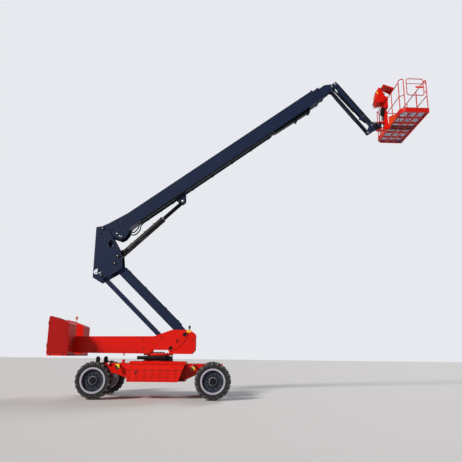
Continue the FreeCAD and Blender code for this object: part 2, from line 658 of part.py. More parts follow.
def riser_lower_link():
    """Two side bars tied together near the head, clear of the cylinder."""
    half = LOWER_LINK_HEIGHT / 2
    foot_out, head_out = BEAM_INSIDE - 10, CHEEK_INSIDE - 8
    bar_shape = box(0, RISER_LENGTH, LOWER_BAR_INSIDE, LOWER_BAR_OUTSIDE, -half, half)
    foot = round_y(0, 0, half + 5, LOWER_BAR_INSIDE, foot_out)
    head = round_y(RISER_LENGTH, 0, half, LOWER_BAR_INSIDE, head_out)
    sides = pair(join([bar_shape, foot, head]))
    ties = [box(s, s + 120, -LOWER_BAR_INSIDE - 5, LOWER_BAR_INSIDE + 5, -half + 15, half - 15)
            for s in (1850, 2500)]
    body = join(sides + ties)
    body = body.cut(round_y(0, 0, 40 + PIN_CLEARANCE, -foot_out - 1, foot_out + 1))
    body = body.cut(round_y(RISER_LENGTH, 0, 38 + PIN_CLEARANCE, -head_out - 1, head_out + 1))
    return placed(body, LOWER_FOOT, RISER_ANGLE)


def cylinder_barrel(length, radius, bore, eye_radius, eye_half, pin_radius):
    """Barrel drawn along +X from its base eye."""
    floor = eye_radius + 45
    tube = Part.makeCylinder(radius, length - floor, V(floor, 0, 0), V(1, 0, 0))
    tube = tube.cut(Part.makeCylinder(bore, length, V(floor + 25, 0, 0), V(1, 0, 0)))
    gland = Part.makeCylinder(radius + 5, 60, V(length - 60, 0, 0), V(1, 0, 0))
    gland = gland.cut(Part.makeCylinder(bore * 0.7, 80, V(length - 70, 0, 0), V(1, 0, 0)))
    neck = box(0, floor + 5, -eye_half, eye_half, -eye_radius * 0.75, eye_radius * 0.75)
    eye = round_y(0, 0, eye_radius, -eye_half, eye_half)
    body = join([tube, gland, neck, eye])
    return body.cut(round_y(0, 0, pin_radius + PIN_CLEARANCE, -eye_half - 1, eye_half + 1))


def cylinder_rod(start, end, rod, piston, eye_radius, eye_half, pin_radius):
    """Piston, rod and eye drawn along +X, the eye centred at its end."""
    shaft = Part.makeCylinder(rod, end - eye_radius * 0.6 - start, V(start, 0, 0), V(1, 0, 0))
    head = Part.makeCylinder(piston, 80, V(start, 0, 0), V(1, 0, 0))
    eye = round_y(end, 0, eye_radius, -eye_half, eye_half)
    body = join([shaft, head, eye])
    return body.cut(round_y(end, 0, pin_radius, -eye_half - 1, eye_half + 1))


def riser_cylinder():
    length = distance(RISER_CYLINDER_BASE, LEVER_PIN)
    angle = slope(RISER_CYLINDER_BASE, LEVER_PIN)
    bore = RISER_BARREL_RADIUS - 15
    barrel = cylinder_barrel(RISER_BARREL_LENGTH, RISER_BARREL_RADIUS, bore, 75, 65, 35)
    rod = cylinder_rod(370, length, RISER_ROD_RADIUS, bore - PIN_CLEARANCE, 62, 42, 34)
    gland_bore = Part.makeCylinder(RISER_ROD_RADIUS + PIN_CLEARANCE, 200,
                                   V(RISER_BARREL_LENGTH - 100, 0, 0), V(1, 0, 0))
    collar = Part.makeCylinder(bore * 0.75, 50, V(RISER_BARREL_LENGTH - 55, 0, 0), V(1, 0, 0))
    barrel = join([barrel, collar]).cut(gland_bore)
    return (placed(barrel, RISER_CYLINDER_BASE, angle), placed(rod, RISER_CYLINDER_BASE, angle))


# ================================================================ knuckle
def knuckle_frame():
    head_x, head_z = UPPER_HEAD
    outline = [
        moved(UPPER_HEAD, (-645, 1129)), moved(UPPER_HEAD, (-637, -456)),
        moved(UPPER_HEAD, (-443, -560)), moved(UPPER_HEAD, (238, -148)),
        moved(UPPER_HEAD, (182, 303)), moved(UPPER_HEAD, (-333, 1184)),
    ]
    radii = [25, 20, 20, 90, 110, 90]
    cheek = plate(outline, CHEEK_INSIDE, CHEEK_INSIDE + CHEEK_PLATE, radii)
    y0, y1 = CHEEK_INSIDE - 5, CHEEK_INSIDE + CHEEK_PLATE + 5
    window = Part.makeCylinder(1, y1 - y0, V(0, y0, 0), V(0, 1, 0))
    oval = FreeCAD.Matrix()
    oval.scale(75, 1, 120)
    upper_window = window.transformGeometry(oval)
    upper_window.translate(V(head_x - 165, 0, head_z + 610))
    oval = FreeCAD.Matrix()
    oval.scale(125, 1, 85)
    lower_window = window.transformGeometry(oval)
    lower_window.rotate(V(0, 0, 0), V(0, 1, 0), -18)
    lower_window.translate(V(LOWER_HEAD[0] - 118, 0, LOWER_HEAD[1] + 118))
    small = round_y(head_x - 470, head_z + 925, 32, y0, y1)
    cheek = cheek.cut(upper_window).cut(lower_window).cut(small)
    pieces = pair(cheek)
    inner = CHEEK_INSIDE + 1
    rear_x = head_x - 645
    pieces.append(box(rear_x + 12, rear_x + 34, -inner, inner, head_z + 60, head_z + 1080))
    pieces.append(box(rear_x + 15, head_x - 60, -inner, inner, head_z + 310, head_z + 330))
    pieces.append(box(rear_x + 20, rear_x + 45, -inner, inner, head_z - 450, head_z - 390))
    out = CHEEK_INSIDE + CHEEK_PLATE + 14
    for (x, z), radius in ((UPPER_HEAD, 42), (LOWER_HEAD, 38), (BOOM_PIVOT, 45), (CYLINDER_BASE, 40)):
        pieces.append(round_y(x, z, radius, -out, out))
    return join(pieces)


# ================================================================ boom
def box_tube(s0, s1, top, bottom, half_width, wall, open_rear=True):
    outer = box(s0, s1, -half_width, half_width, bottom, top)
    start = s0 - 5 if open_rear else s0 + wall
    inner = box(start, s1 + 5, -half_width + wall, half_width - wall, bottom + wall, top - wall)
    return outer.cut(inner)


def pads(s0, s1, top, bottom, half_width, thick, inside):
    """Wear pads on the four walls, inside a section or outside it."""
    grip = 1.0
    sign = -1 if inside else 1
    solids = []
    for z in (top, bottom):
        way = sign if z == top else -sign
        zs = sorted((z - way * grip, z + way * thick))
        solids.append(box(s0, s1, -half_width * 0.6, half_width * 0.6, zs[0], zs[1]))
    middle, half = (top + bottom) / 2, (top - bottom) * 0.3
    for y in (-half_width, half_width):
        way = sign if y > 0 else -sign
        ys = sorted((y - way * grip, y + way * thick))
        solids.append(box(s0, s1, ys[0], ys[1], middle - half, middle + half))
    return solids


MID_HEIGHT = BASE_HEIGHT - 2 * (BOOM_WALL + STEP)
MID_WIDTH = BASE_WIDTH - 2 * (BOOM_WALL + STEP)
FLY_HEIGHT = MID_HEIGHT - 2 * (BOOM_WALL + STEP)
FLY_WIDTH = MID_WIDTH - 2 * (BOOM_WALL + STEP)
MID_TOP = -(BOOM_WALL + STEP)
FLY_TOP = 2 * MID_TOP


def boom_base():
    half = BASE_WIDTH / 2
    tube = box_tube(BASE_REAR, BASE_END, 0, -BASE_HEIGHT, half, BOOM_WALL, False)
    plate_out = half + 30
    outline = [
        (0, 110), (230, 60), (880, -8), (930, -BASE_HEIGHT + 12), (720, -BASE_HEIGHT - 10),
        (560, -560), (400, -606), (260, -585), (150, -430), (-60, -110),
    ]
    lug = plate(outline, half - 1, plate_out, [100, 40, 20, 30, 40, 40, 60, 60, 60, 60])
    pieces = [tube] + pair(lug)
    pieces.append(round_y(0, 0, 95, -CHEEK_INSIDE + 8, CHEEK_INSIDE - 8))
    collar = box(BASE_END - 60, BASE_END, -half - 12, half + 12, -BASE_HEIGHT - 12, 12)
    collar = collar.cut(box(BASE_END - 70, BASE_END + 10, -half + 5, half - 5,
                            -BASE_HEIGHT + 5, -5))
    pieces.append(collar)
    pieces += pads(BASE_END - 200, BASE_END - 10, -BOOM_WALL, -BASE_HEIGHT + BOOM_WALL,
                   half - BOOM_WALL, STEP - PAD_CLEARANCE, True)
    s, n = ROD_PIN
    for y in (72, -102):
        pieces.append(plate([(s - 160, -BASE_HEIGHT + 5), (s + 280, -BASE_HEIGHT + 5),
                             (s + 85, n - 60), (s - 60, n - 75)], y, y + 30, [0, 0, 50, 50]))
    pieces += [round_y(s, n, 38, 68, 112), round_y(s, n, 38, -112, -68)]
    body = join(pieces)
    body = body.cut(round_y(0, 0, 45 + PIN_CLEARANCE, -CHEEK_INSIDE, CHEEK_INSIDE))
    return placed(body, BOOM_PIVOT, BOOM_ANGLE)


def boom_mid():
    half = MID_WIDTH / 2
    bottom = MID_TOP - MID_HEIGHT
    pieces = [box_tube(MID_REAR, MID_END, MID_TOP, bottom, half, BOOM_WALL)]
    pieces += pads(MID_REAR + 10, MID_REAR + 210, MID_TOP, bottom, half,
                   STEP - PAD_CLEARANCE, False)
    collar = box(MID_END - 50, MID_END, -half - 14, half + 14, bottom - 14, MID_TOP + 14)
    collar = collar.cut(box(MID_END - 60, MID_END + 10, -half + 5, half - 5,
                            bottom + 5, MID_TOP - 5))
    pieces.append(collar)
    pieces += pads(MID_END - 200, MID_END - 10, MID_TOP - BOOM_WALL, bottom + BOOM_WALL,
                   half - BOOM_WALL, STEP - PAD_CLEARANCE, True)
    return placed(join(pieces), BOOM_PIVOT, BOOM_ANGLE)


def boom_fly():
    """Inner section with a forked head for the levelled jib bracket."""
    half = FLY_WIDTH / 2
    bottom = FLY_TOP - FLY_HEIGHT
    pieces = [box_tube(FLY_REAR, FLY_END - 290, FLY_TOP, bottom, half, BOOM_WALL)]
    pieces += pads(FLY_REAR + 10, FLY_REAR + 210, FLY_TOP, bottom, half,
                   STEP - PAD_CLEARANCE, False)
    s, n = FORK_PIN
    gap = JIB_BRACKET_INSIDE + JIB_BRACKET_PLATE + 7
    cheek = plate([(FLY_END - 430, FLY_TOP - 3), (FLY_END - 430, bottom + 3), (FLY_END - 160, bottom + 3),
                   (s + 45, n - 85), (s + 80, n), (s + 30, n + 80), (FLY_END - 60, FLY_TOP)],
                  gap, gap + 30, [0, 0, 60, 50, 50, 50, 40])
    pieces += pair(cheek)
    spacer = box(FLY_END - 430, FLY_END - 290, gap + 20, half, bottom + 5, FLY_TOP - 5)
    pieces += pair(spacer)
    pieces += pair(round_y(s - 172, n + 12, 30, gap, gap + 40))
    body = join(pieces)
    body = body.cut(round_y(s, n, 34 + PIN_CLEARANCE, -200, 200))
    return placed(body, BOOM_PIVOT, BOOM_ANGLE)


def boom_cylinder():
    length = distance(CYLINDER_BASE, ROD_PIN_PLACE)
    angle = slope(CYLINDER_BASE, ROD_PIN_PLACE)
    bore = BOOM_BARREL_RADIUS - 15
    barrel = cylinder_barrel(BOOM_BARREL_LENGTH, BOOM_BARREL_RADIUS, bore, 82, 90, 40)
    collar = Part.makeCylinder(bore * 0.75, 50, V(BOOM_BARREL_LENGTH - 55, 0, 0), V(1, 0, 0))
    gland_bore = Part.makeCylinder(BOOM_ROD_RADIUS + PIN_CLEARANCE, 200,
                                   V(BOOM_BARREL_LENGTH - 100, 0, 0), V(1, 0, 0))
    barrel = join([barrel, collar]).cut(gland_bore)
    rod = cylinder_rod(790, length, BOOM_ROD_RADIUS, bore - PIN_CLEARANCE, 56, 60, 38)
    return (placed(barrel, CYLINDER_BASE, angle), placed(rod, CYLINDER_BASE, angle))


def hose_carrier():
    """Tray for the hoses below the front of the outer section."""
    top = -BASE_HEIGHT - PIN_CLEARANCE
    tray = plate([(6350, top), (8050, top), (7900, top - 95), (6500, top - 60)], -110, 110, 10)
    guides = [box(s, s + 60, -130, 130, top - 130, top) for s in (7300, 7850)]
    return placed(join([tray] + guides), BOOM_PIVOT, BOOM_ANGLE)


# ================================================================ jib
def jib_bracket():
    """Levelled bracket: two cheeks on the fork pin, with ears for the cylinder."""
    inside, thick = JIB_BRACKET_INSIDE, JIB_BRACKET_PLATE
    fork = FORK_PLACE
    outline = [
        moved(JIB_LINK_FOOT, (-62, -52)), moved(JIB_LINK_FOOT, (58, -46)),
        moved(JIB_FOOT, (66, -60)), moved(JIB_FOOT, (76, 30)), moved(JIB_FOOT, (10, 84)),
        moved(fork, (-72, 30)),
    ]
    cheek = plate(outline, inside, inside + thick, [40, 40, 50, 50, 40, 50])
    pieces = pair(cheek)
    out = inside + thick + 7 + 30 + 12
    pieces.append(round_y(fork[0], fork[1], 34, -out, out))
    pieces.append(round_y(fork[0], fork[1], 46, -inside - 1, inside + 1))
    for pin, radius in ((JIB_FOOT, 30), (JIB_LINK_FOOT, 25)):
        pieces.append(round_y(pin[0], pin[1], radius, -inside - 5, inside + 5))
    for y in (33, -43):
        ear = plate([moved(fork, (-30, -40)), moved(JIB_BASE, (-5, -32)), moved(JIB_BASE, (32, 0)),
                     moved(JIB_BASE, (0, 34)), moved(fork, (30, 30))], y, y + 10, 0)
        pieces.append(ear)
    pieces.append(round_y(JIB_BASE[0], JIB_BASE[1], 20, -43, 43))
    return join(pieces)


def jib_arm():
    """Box arm above the line of its pins, open below where the rod eye sits."""
    top, low, wall = JIB_ARM_TOP, JIB_ARM_BOTTOM, 8.0
    tube = box(60, JIB_LENGTH - 50, -JIB_HALF_WIDTH, JIB_HALF_WIDTH, low, top)
    tube = tube.cut(box(100, JIB_LENGTH - 90, -JIB_HALF_WIDTH + wall, JIB_HALF_WIDTH - wall,
                        low + wall, top - wall))
    s, n = JIB_ROD_PIN
    slot = box(s - 190, s + 150, -JIB_HALF_WIDTH + 16, JIB_HALF_WIDTH - 16, low - 5, 0)
    neck = plate([(0, -55), (105, low), (105, top), (0, 72)], -JIB_HALF_WIDTH, JIB_HALF_WIDTH)
    foot = round_y(0, 0, 64, -JIB_HALF_WIDTH, JIB_HALF_WIDTH)
    head = round_y(JIB_LENGTH, 0, 56, -JIB_HALF_WIDTH, JIB_HALF_WIDTH)
    tip = plate([(JIB_LENGTH - 95, low), (JIB_LENGTH, -56), (JIB_LENGTH, 56),
                 (JIB_LENGTH - 95, top)], -JIB_HALF_WIDTH, JIB_HALF_WIDTH)
    cheeks = []
    near, far = JIB_HALF_WIDTH - 28, JIB_HALF_WIDTH - 15
    for y0, y1 in ((near, far), (-far, -near)):
        cheeks.append(plate([(s - 90, low + 6), (s - 35, n - 36), (s + 35, n - 36),
                             (s + 90, low + 6)], y0, y1, [0, 25, 25, 0]))
    stubs = [round_y(s, n, 20, near - 2, far), round_y(s, n, 20, -far, -near + 2)]
    body = join([tube.cut(slot), foot, neck, head, tip] + cheeks + stubs)
    body = body.cut(round_y(0, 0, 30 + PIN_CLEARANCE, -100, 100))
    body = body.cut(round_y(JIB_LENGTH, 0, 28 + PIN_CLEARANCE, -100, 100))
    return placed(body, JIB_FOOT, JIB_ANGLE)


def jib_link():
    """Lower link of the jib: two flat bars tied by a strip on the outer edge."""
    half = 40.0
    side = box(0, JIB_LENGTH, 52, JIB_HALF_WIDTH, -half, half)
    ends = [round_y(s, 0, half, 52, JIB_HALF_WIDTH) for s in (0, JIB_LENGTH)]
    sides = pair(join([side] + ends))
    web = box(250, 1350, -JIB_HALF_WIDTH, JIB_HALF_WIDTH, -half - 10, -half + 1)
    body = join(sides + [web])
    body = body.cut(round_y(0, 0, 25 + PIN_CLEARANCE, -100, 100))
    body = body.cut(round_y(JIB_LENGTH, 0, 25 + PIN_CLEARANCE, -100, 100))
    return placed(body, JIB_LINK_FOOT, JIB_ANGLE)


def jib_cylinder():
    length = distance(JIB_BASE, JIB_ROD_PLACE)
    angle = slope(JIB_BASE, JIB_ROD_PLACE)
    bore = JIB_BARREL_RADIUS - 7
    reach = 1060.0
    barrel = cylinder_barrel(reach, JIB_BARREL_RADIUS - 5, bore - 5, 30, 28, 20)
    collar = Part.makeCylinder(bore - 8, 50, V(reach - 55, 0, 0), V(1, 0, 0))
    gland_bore = Part.makeCylinder(JIB_ROD_RADIUS - 4 + PIN_CLEARANCE, 200,
                                   V(reach - 100, 0, 0), V(1, 0, 0))
    barrel = join([barrel, collar]).cut(gland_bore)
    rod = cylinder_rod(240, length, JIB_ROD_RADIUS - 4, bore - 5 - PIN_CLEARANCE, 30, 27, 20)
    return (placed(barrel, JIB_BASE, angle), placed(rod, JIB_BASE, angle))


def jib_head():
    """Bracket at the jib's end, carrying the rotary actuator."""
    inside, thick = JIB_BRACKET_INSIDE, JIB_BRACKET_PLATE
    outline = [
        moved(JIB_LINK_HEAD, (-52, -10)), moved(JIB_LINK_HEAD, (0, -52)),
        moved(JIB_LINK_HEAD, (60, -20)), moved(JIB_HEAD, (ROTATOR_STEP - 90, -110)),
        moved(JIB_HEAD, (ROTATOR_STEP - 70, 80)), moved(JIB_HEAD, (0, 66)),
        moved(JIB_HEAD, (-64, 10)),
    ]
    cheek = plate(outline, inside, inside + thick, [30, 40, 40, 20, 20, 50, 50])
    pieces = pair(cheek)
    z0, z1 = JIB_HEAD[1] - 130, JIB_HEAD[1] + 110
    pieces.append(Part.makeCylinder(92, z1 - z0, V(ROTATOR_X, 0, z0)))
    pieces.append(box(ROTATOR_X - 110, ROTATOR_X - 40, -inside - 1, inside + 1, z0 + 20, z1 - 30))
    for pin, radius in ((JIB_HEAD, 28), (JIB_LINK_HEAD, 25)):
        pieces.append(round_y(pin[0], pin[1], radius, -inside - 5, inside + 5))
    pieces.append(Part.makeCylinder(40, z1 - z0 + 70, V(ROTATOR_X, 0, z0 - 35)))
    return join(pieces)


# ================================================================ platform
def platform_support():
    """Fork over and under the rotary actuator, with the post to the platform."""
    z0, z1 = JIB_HEAD[1] - 130, JIB_HEAD[1] + 110
    pieces = []
    for low in (z0 - 32, z1 + 4):
        arm = flat_plate([(ROTATOR_X - 95, -85), (PLATFORM_X - 60, -85), (PLATFORM_X - 60, 85),
                          (ROTATOR_X - 95, 85)], low, low + 28, [80, 0, 0, 80])
        pieces.append(arm)
    pieces.append(box(PLATFORM_X - 130, PLATFORM_X - 30, -80, 80, z0 - 32, PLATFORM_Z + 620))
    pieces.append(box(PLATFORM_X - 40, PLATFORM_X, -60, 60, PLATFORM_Z + 20, PLATFORM_Z + 70))
    body = join(pieces)
    return body.cut(Part.makeCylinder(40 + PIN_CLEARANCE, 600, V(ROTATOR_X, 0, z0 - 100)))


def platform_outline(inset):
    """Floor outline with chamfered corners on the boom side."""
    x0, x1 = PLATFORM_X + inset, PLATFORM_X + PLATFORM_DEPTH - inset
    y1 = PLATFORM_LENGTH / 2 - inset
    cut = 130.0
    return [(x0 + cut, -y1), (x1, -y1), (x1, y1), (x0 + cut, y1), (x0, y1 - cut), (x0, -y1 + cut)]


def platform_floor():
    """Frame of toe boards and bearers under an open mesh deck."""
    toe, deck = 150.0, 60.0
    rim_plate = flat_plate(platform_outline(0), PLATFORM_Z, PLATFORM_Z + toe)
    hollow = flat_plate(platform_outline(6), PLATFORM_Z + deck, PLATFORM_Z + toe + 5)
    under = flat_plate(platform_outline(50), PLATFORM_Z - 5, PLATFORM_Z + deck - 8)
    tray = rim_plate.cut(hollow).cut(under)
    bearers = []
    for y in (-760, -260, 0, 260, 760):
        bearers.append(box(PLATFORM_X + 40, PLATFORM_X + PLATFORM_DEPTH - 40, y - 22, y + 22,
                           PLATFORM_Z + 6, PLATFORM_Z + deck - 4))
    for x in (300, 610):
        bearers.append(box(PLATFORM_X + x - 20, PLATFORM_X + x + 20,
                           -PLATFORM_LENGTH / 2 + 45, PLATFORM_LENGTH / 2 - 45,
                           PLATFORM_Z + 10, PLATFORM_Z + deck - 4))
    return join([tray] + bearers)


def tube_path(points, radius, bend):
    """A bent tube through the points."""
    wire = open_wire(points, bend)
    start = wire.Edges[0]
    direction = start.tangentAt(start.FirstParameter)
    circle = Part.Wire(Part.makeCircle(radius, V(*points[0]), direction))
    return wire.makePipeShell([circle], True, False)


def open_wire(points, bend):
    vectors = [V(*p) for p in points]
    edges, last = [], vectors[0]
    for i in range(1, len(vectors) - 1):
        here = vectors[i]
        before = (vectors[i - 1] - here).normalize()
        after = (vectors[i + 1] - here).normalize()
        half = before.getAngle(after) / 2
        reach = bend / math.tan(half)
        first, end = here + before * reach, here + after * reach
        top = here + (before + after).normalize() * (bend / math.sin(half) - bend)
        edges.append(Part.LineSegment(last, first).toShape())
        edges.append(Part.Arc(first, top, end).toShape())
        last = end
    edges.append(Part.LineSegment(last, vectors[-1]).toShape())
    return Part.Wire(edges)


def rail_line():
    """Corner points of the rails, just inside the toe boards."""
    inset = 6 + RAIL_RADIUS + PIN_CLEARANCE
    x0, x1 = PLATFORM_X + inset, PLATFORM_X + PLATFORM_DEPTH - inset
    y1 = PLATFORM_LENGTH / 2 - inset
    cut = 130.0 - inset * 0.4
    return [(x0 + cut, -y1), (x1, -y1), (x1, y1), (x0 + cut, y1), (x0, y1 - cut), (x0, -y1 + cut)]


def platform_rails():
    """Posts, top rail and knee rail round three sides of the platform."""
    r = RAIL_RADIUS
    line = rail_line()
    base = PLATFORM_Z + 60 + PIN_CLEARANCE
    top = PLATFORM_Z + RAIL_HEIGHT - r
    solids = []
    for z in (top, PLATFORM_Z + 640):
        loop = [(x, y, z) for x, y in line]
        for i in (1, 2, 3, 4, 5):
            solids.append(bar(loop[i], loop[(i + 1) % 6], r - 1))
    x1, x0, y1 = line[1][0], line[4][0], line[1][1]
    posts = line + [(x1, y1 / 3), (x1, -y1 / 3), (x0, y1 / 3), (x0, -y1 / 3)]
    for x, y in posts:
        solids.append(bar((x, y, base), (x, y, top + r), r))
    return join(solids)


def platform_gate():
    """Side gate in the near end: a rounded frame with one cross bar."""
    r = RAIL_RADIUS - 2
    post_x, y = rail_line()[1]
    x0 = rail_line()[0][0] + 60
    hinge_radius = 11.0
    hinge_x = post_x - RAIL_RADIUS - PIN_CLEARANCE - hinge_radius
    x1 = hinge_x - 30
    z0, z1 = PLATFORM_Z + 190, PLATFORM_Z + RAIL_HEIGHT - RAIL_RADIUS
    corners = [(x0, y, z0), (x1, y, z0), (x1, y, z1), (x0, y, z1)]
    frame = []
    for i in range(4):
        frame.append(bar(corners[i], corners[(i + 1) % 4], r))
        frame.append(Part.makeSphere(r + 1, V(*corners[i])))
    middle = (z0 + z1) / 2
    frame.append(bar((x0, y, middle), (x1, y, middle), r))
    for z in (z0 + 120, z1 - 120):
        frame.append(bar((hinge_x, y, z - 40), (hinge_x, y, z + 40), hinge_radius))
        frame.append(bar((x1, y, z), (hinge_x, y, z), hinge_radius - 3))
    return join(frame)


def control_console():
    """Console box and its hood on the boom side of the platform."""
    x, z = PLATFORM_X, PLATFORM_Z
    body = plate([(x - 330, z + 720), (x - 90, z + 680), (x - 30, z + 960), (x - 130, z + 1120),
                  (x - 210, z + 1150), (x - 300, z + 940)], -240, 240, 25)
    arm = box(x - 110, x - 40, -40, 40, z + 620 + PIN_CLEARANCE, z + 720)
    return join([body, arm])


# ================================================================ write
os.makedirs("parts", exist_ok=True)

write("chassis_frame", chassis_frame())
for name, side in (("left", 1), ("right", -1)):
    write("side_cover_" + name, side_cover(side))
    write("steer_knuckle_" + name, steer_knuckle(side))
    write("tail_pod_" + name, tail_pod(side))
    write("tail_door_" + name, tail_door(side))
    for axle, x in (("steer", STEER_X), ("drive", DRIVE_X)):
        write("tyre_%s_%s" % (axle, name), tyre(x, side))
        write("rim_%s_%s" % (axle, name), rim(x, side))
write("steer_axle", steer_axle())
write("drive_axle", drive_axle())
write("axle_lock_cylinders", axle_lock_cylinders())
write("slew_drive", slew_drive())
write("turntable_frame", turntable_frame())
write("counterweight", counterweight())
write("beacon", beacon())
riser_barrel, riser_rod = riser_cylinder()
write("riser_cylinder_barrel", riser_barrel)
write("riser_cylinder_rod", riser_rod)
write("riser_upper_link", riser_upper_link())
write("riser_lower_link", riser_lower_link())
write("knuckle_frame", knuckle_frame())
write("boom_base", boom_base())
write("boom_mid", boom_mid())
write("boom_fly", boom_fly())
boom_barrel, boom_rod = boom_cylinder()
write("boom_cylinder_barrel", boom_barrel)
write("boom_cylinder_rod", boom_rod)
write("hose_carrier", hose_carrier())
write("jib_bracket", jib_bracket())
write("jib_arm", jib_arm())
write("jib_link", jib_link())
jib_barrel, jib_rod = jib_cylinder()
write("jib_cylinder_barrel", jib_barrel)
write("jib_cylinder_rod", jib_rod)
write("jib_head", jib_head())
write("platform_support", platform_support())
write("platform_floor", platform_floor())
write("platform_rails", platform_rails())
write("platform_gate", platform_gate())
write("control_console", control_console())
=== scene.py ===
# %% [markdown]
# # An articulated boom lift, dressed around its CAD frame
# The CAD model brings every plate, link and cylinder to its right place. This
# script gives the plates their paint, the tyres their tread, and adds what is
# too small for CAD: bolts, hoses, lenses, mesh and warning film. First we load
# the frame and remember how large it is.

# %% Load the frame
import json
import math

import bmesh
import bpy
from mathutils import Matrix, Vector


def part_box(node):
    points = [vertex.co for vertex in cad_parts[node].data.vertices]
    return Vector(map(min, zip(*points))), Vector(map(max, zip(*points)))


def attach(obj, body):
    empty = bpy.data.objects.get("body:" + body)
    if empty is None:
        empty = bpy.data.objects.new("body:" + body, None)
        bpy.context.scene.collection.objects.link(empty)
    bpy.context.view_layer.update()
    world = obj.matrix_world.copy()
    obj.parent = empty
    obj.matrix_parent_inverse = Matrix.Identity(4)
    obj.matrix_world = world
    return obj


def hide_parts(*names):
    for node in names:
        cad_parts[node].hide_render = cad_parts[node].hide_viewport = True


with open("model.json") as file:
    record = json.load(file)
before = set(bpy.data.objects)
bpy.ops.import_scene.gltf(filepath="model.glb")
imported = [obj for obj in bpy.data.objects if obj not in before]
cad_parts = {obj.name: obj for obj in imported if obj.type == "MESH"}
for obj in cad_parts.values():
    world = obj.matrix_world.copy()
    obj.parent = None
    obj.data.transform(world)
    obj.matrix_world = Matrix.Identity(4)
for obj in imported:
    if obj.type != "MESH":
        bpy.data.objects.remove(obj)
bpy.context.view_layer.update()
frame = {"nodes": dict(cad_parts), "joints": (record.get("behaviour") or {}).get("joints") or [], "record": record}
nodes, joints = frame["nodes"], {j["name"]: j for j in frame["joints"]}

# %% [markdown]
# Pins and axles tell us where everything is. A joint's position is a point on
# its hinge line, so we keep those points under short names.

# %% Pins


def pin(joint):
    """The place of a joint, in metres."""
    return Vector(joints[joint]["pos_m"])


RISER_FOOT, LINK_FOOT = pin("riser_lift"), pin("riser_lower_hinge")
RISER_HEAD, BOOM_PIVOT = pin("knuckle_level"), pin("boom_luff")
CYLINDER_BASE = pin("boom_cylinder_swing")
FORK, JIB_FOOT, JIB_HEAD = pin("jib_level"), pin("jib_luff"), pin("platform_level")
JIB_LINK_FOOT = pin("jib_link_hinge")
ROTATOR = pin("platform_rotate")
LINK_HEAD = RISER_HEAD + LINK_FOOT - RISER_FOOT
JIB_LINK_HEAD = JIB_HEAD + JIB_LINK_FOOT - JIB_FOOT
print("boom pivot at", [round(v, 3) for v in BOOM_PIVOT])

# %% [markdown]
# The boom, the jib and the riser lie at an angle. Placing a bolt on them in
# the machine's own X and Z would take trigonometry for each one, so each gets
# a ruler: a distance along it, one across the machine, and one square to it.
# The platform is level, and its ruler starts under the floor's edge nearest the
# boom. The machine's own ruler starts midway between the axles, on the ground.

# %% Rulers


class Ruler:
    """Places along a straight member that leans in the machine's middle plane."""

    def __init__(self, start, degrees):
        lean = math.radians(degrees)
        self.start = Vector((start.x, 0, start.z))
        self.along = Vector((math.cos(lean), 0, math.sin(lean)))
        self.up = Vector((-math.sin(lean), 0, math.cos(lean)))

    def __call__(self, s, y, n):
        return self.start + self.along * s + Vector((0, y, 0)) + self.up * n

    def block(self, s, y, n):
        """A place whose local X lies along the member and local Z square to it."""
        turn = Matrix((self.along, Vector((0, 1, 0)), self.up)).transposed().to_4x4()
        return Matrix.Translation(self(s, y, n)) @ turn


def lean_of(start, end):
    """Angle of the line between two points, in degrees."""
    return math.degrees(math.atan2(end.z - start.z, end.x - start.x))


FORK_ALONG, FORK_BELOW = 9.108, 0.250   # the fork pin, from the boom's pivot
BOOM_LEAN = lean_of(BOOM_PIVOT, FORK) + math.degrees(math.atan2(FORK_BELOW, FORK_ALONG))
MACHINE = Ruler(Vector((0, 0, 0)), 0)
BOOM = Ruler(BOOM_PIVOT, BOOM_LEAN)
JIB = Ruler(JIB_FOOT, lean_of(JIB_FOOT, JIB_HEAD))
RISER = Ruler(RISER_FOOT, lean_of(RISER_FOOT, RISER_HEAD))
CAB = Ruler(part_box("platform_floor")[0], 0)
RISER_LONG, JIB_LONG = (RISER_HEAD - RISER_FOOT).length, (JIB_HEAD - JIB_FOOT).length
print("boom leans", round(BOOM_LEAN, 1), "degrees, riser", round(RISER_LONG, 2),
      "m and jib", round(JIB_LONG, 2), "m between pins")

# %% [markdown]
# ## Small tools for meshes
# A real machine is full of repeats: bolts, washers, straps. We make each kind
# of small thing once, as a function that adds it to a mesh under construction,
# and join many of them into one object. One object is quicker to render than a
# hundred, and it rides on one body.

# %% From mesh to piece
MIRROR_SIDES = (-1, 1)


def finish_mesh(name, bm, material, body, smooth=40):
    """Turn the mesh under construction into a piece of the machine."""
    bmesh.ops.recalc_face_normals(bm, faces=bm.faces)
    data = bpy.data.meshes.new(name)
    bm.to_mesh(data)
    bm.free()
    piece = bpy.data.objects.new(name, data)
    bpy.context.scene.collection.objects.link(piece)
    data.materials.append(material)
    for face in data.polygons:
        face.use_smooth = True
    data.set_sharp_from_angle(angle=math.radians(smooth))
    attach(piece, body)
    return piece


def at(x, y, z):
    """A place that isn't turned."""
    return Matrix.Translation((x, y, z))


def standing(point, axis):
    """A place whose local Z points along the axis."""
    turn = Vector(axis).normalized().to_track_quat("Z", "Y").to_matrix().to_4x4()
    return Matrix.Translation(point) @ turn


def turns(count, start=0.0):
    """Even angles once round a circle. The start is a share of one step."""
    return [math.tau * (k + start) / count for k in range(count)]


print("places and pieces ready")

# %% [markdown]
# Round things are rings of points joined by faces, whether the rings stack up
# to a turned cap, close on themselves to a collar, or follow a line to a hose.
# So one function joins rings, and the others only lay the points.

# %% Turned shapes, collars and tubes


def add_rings(bm, rings, closed=False):
    """Join rings of points by faces. An open run gets a cap on each end."""
    rings = [[bm.verts.new(point) for point in ring] for ring in rings]
    for low, high in zip(rings, rings[1:] + rings[:1] if closed else rings[1:]):
        for i in range(len(low)):
            j = (i + 1) % len(low)
            bm.faces.new((low[i], low[j], high[j], high[i]))
    if not closed:
        bm.faces.new(reversed(rings[0]))
        bm.faces.new(rings[-1])


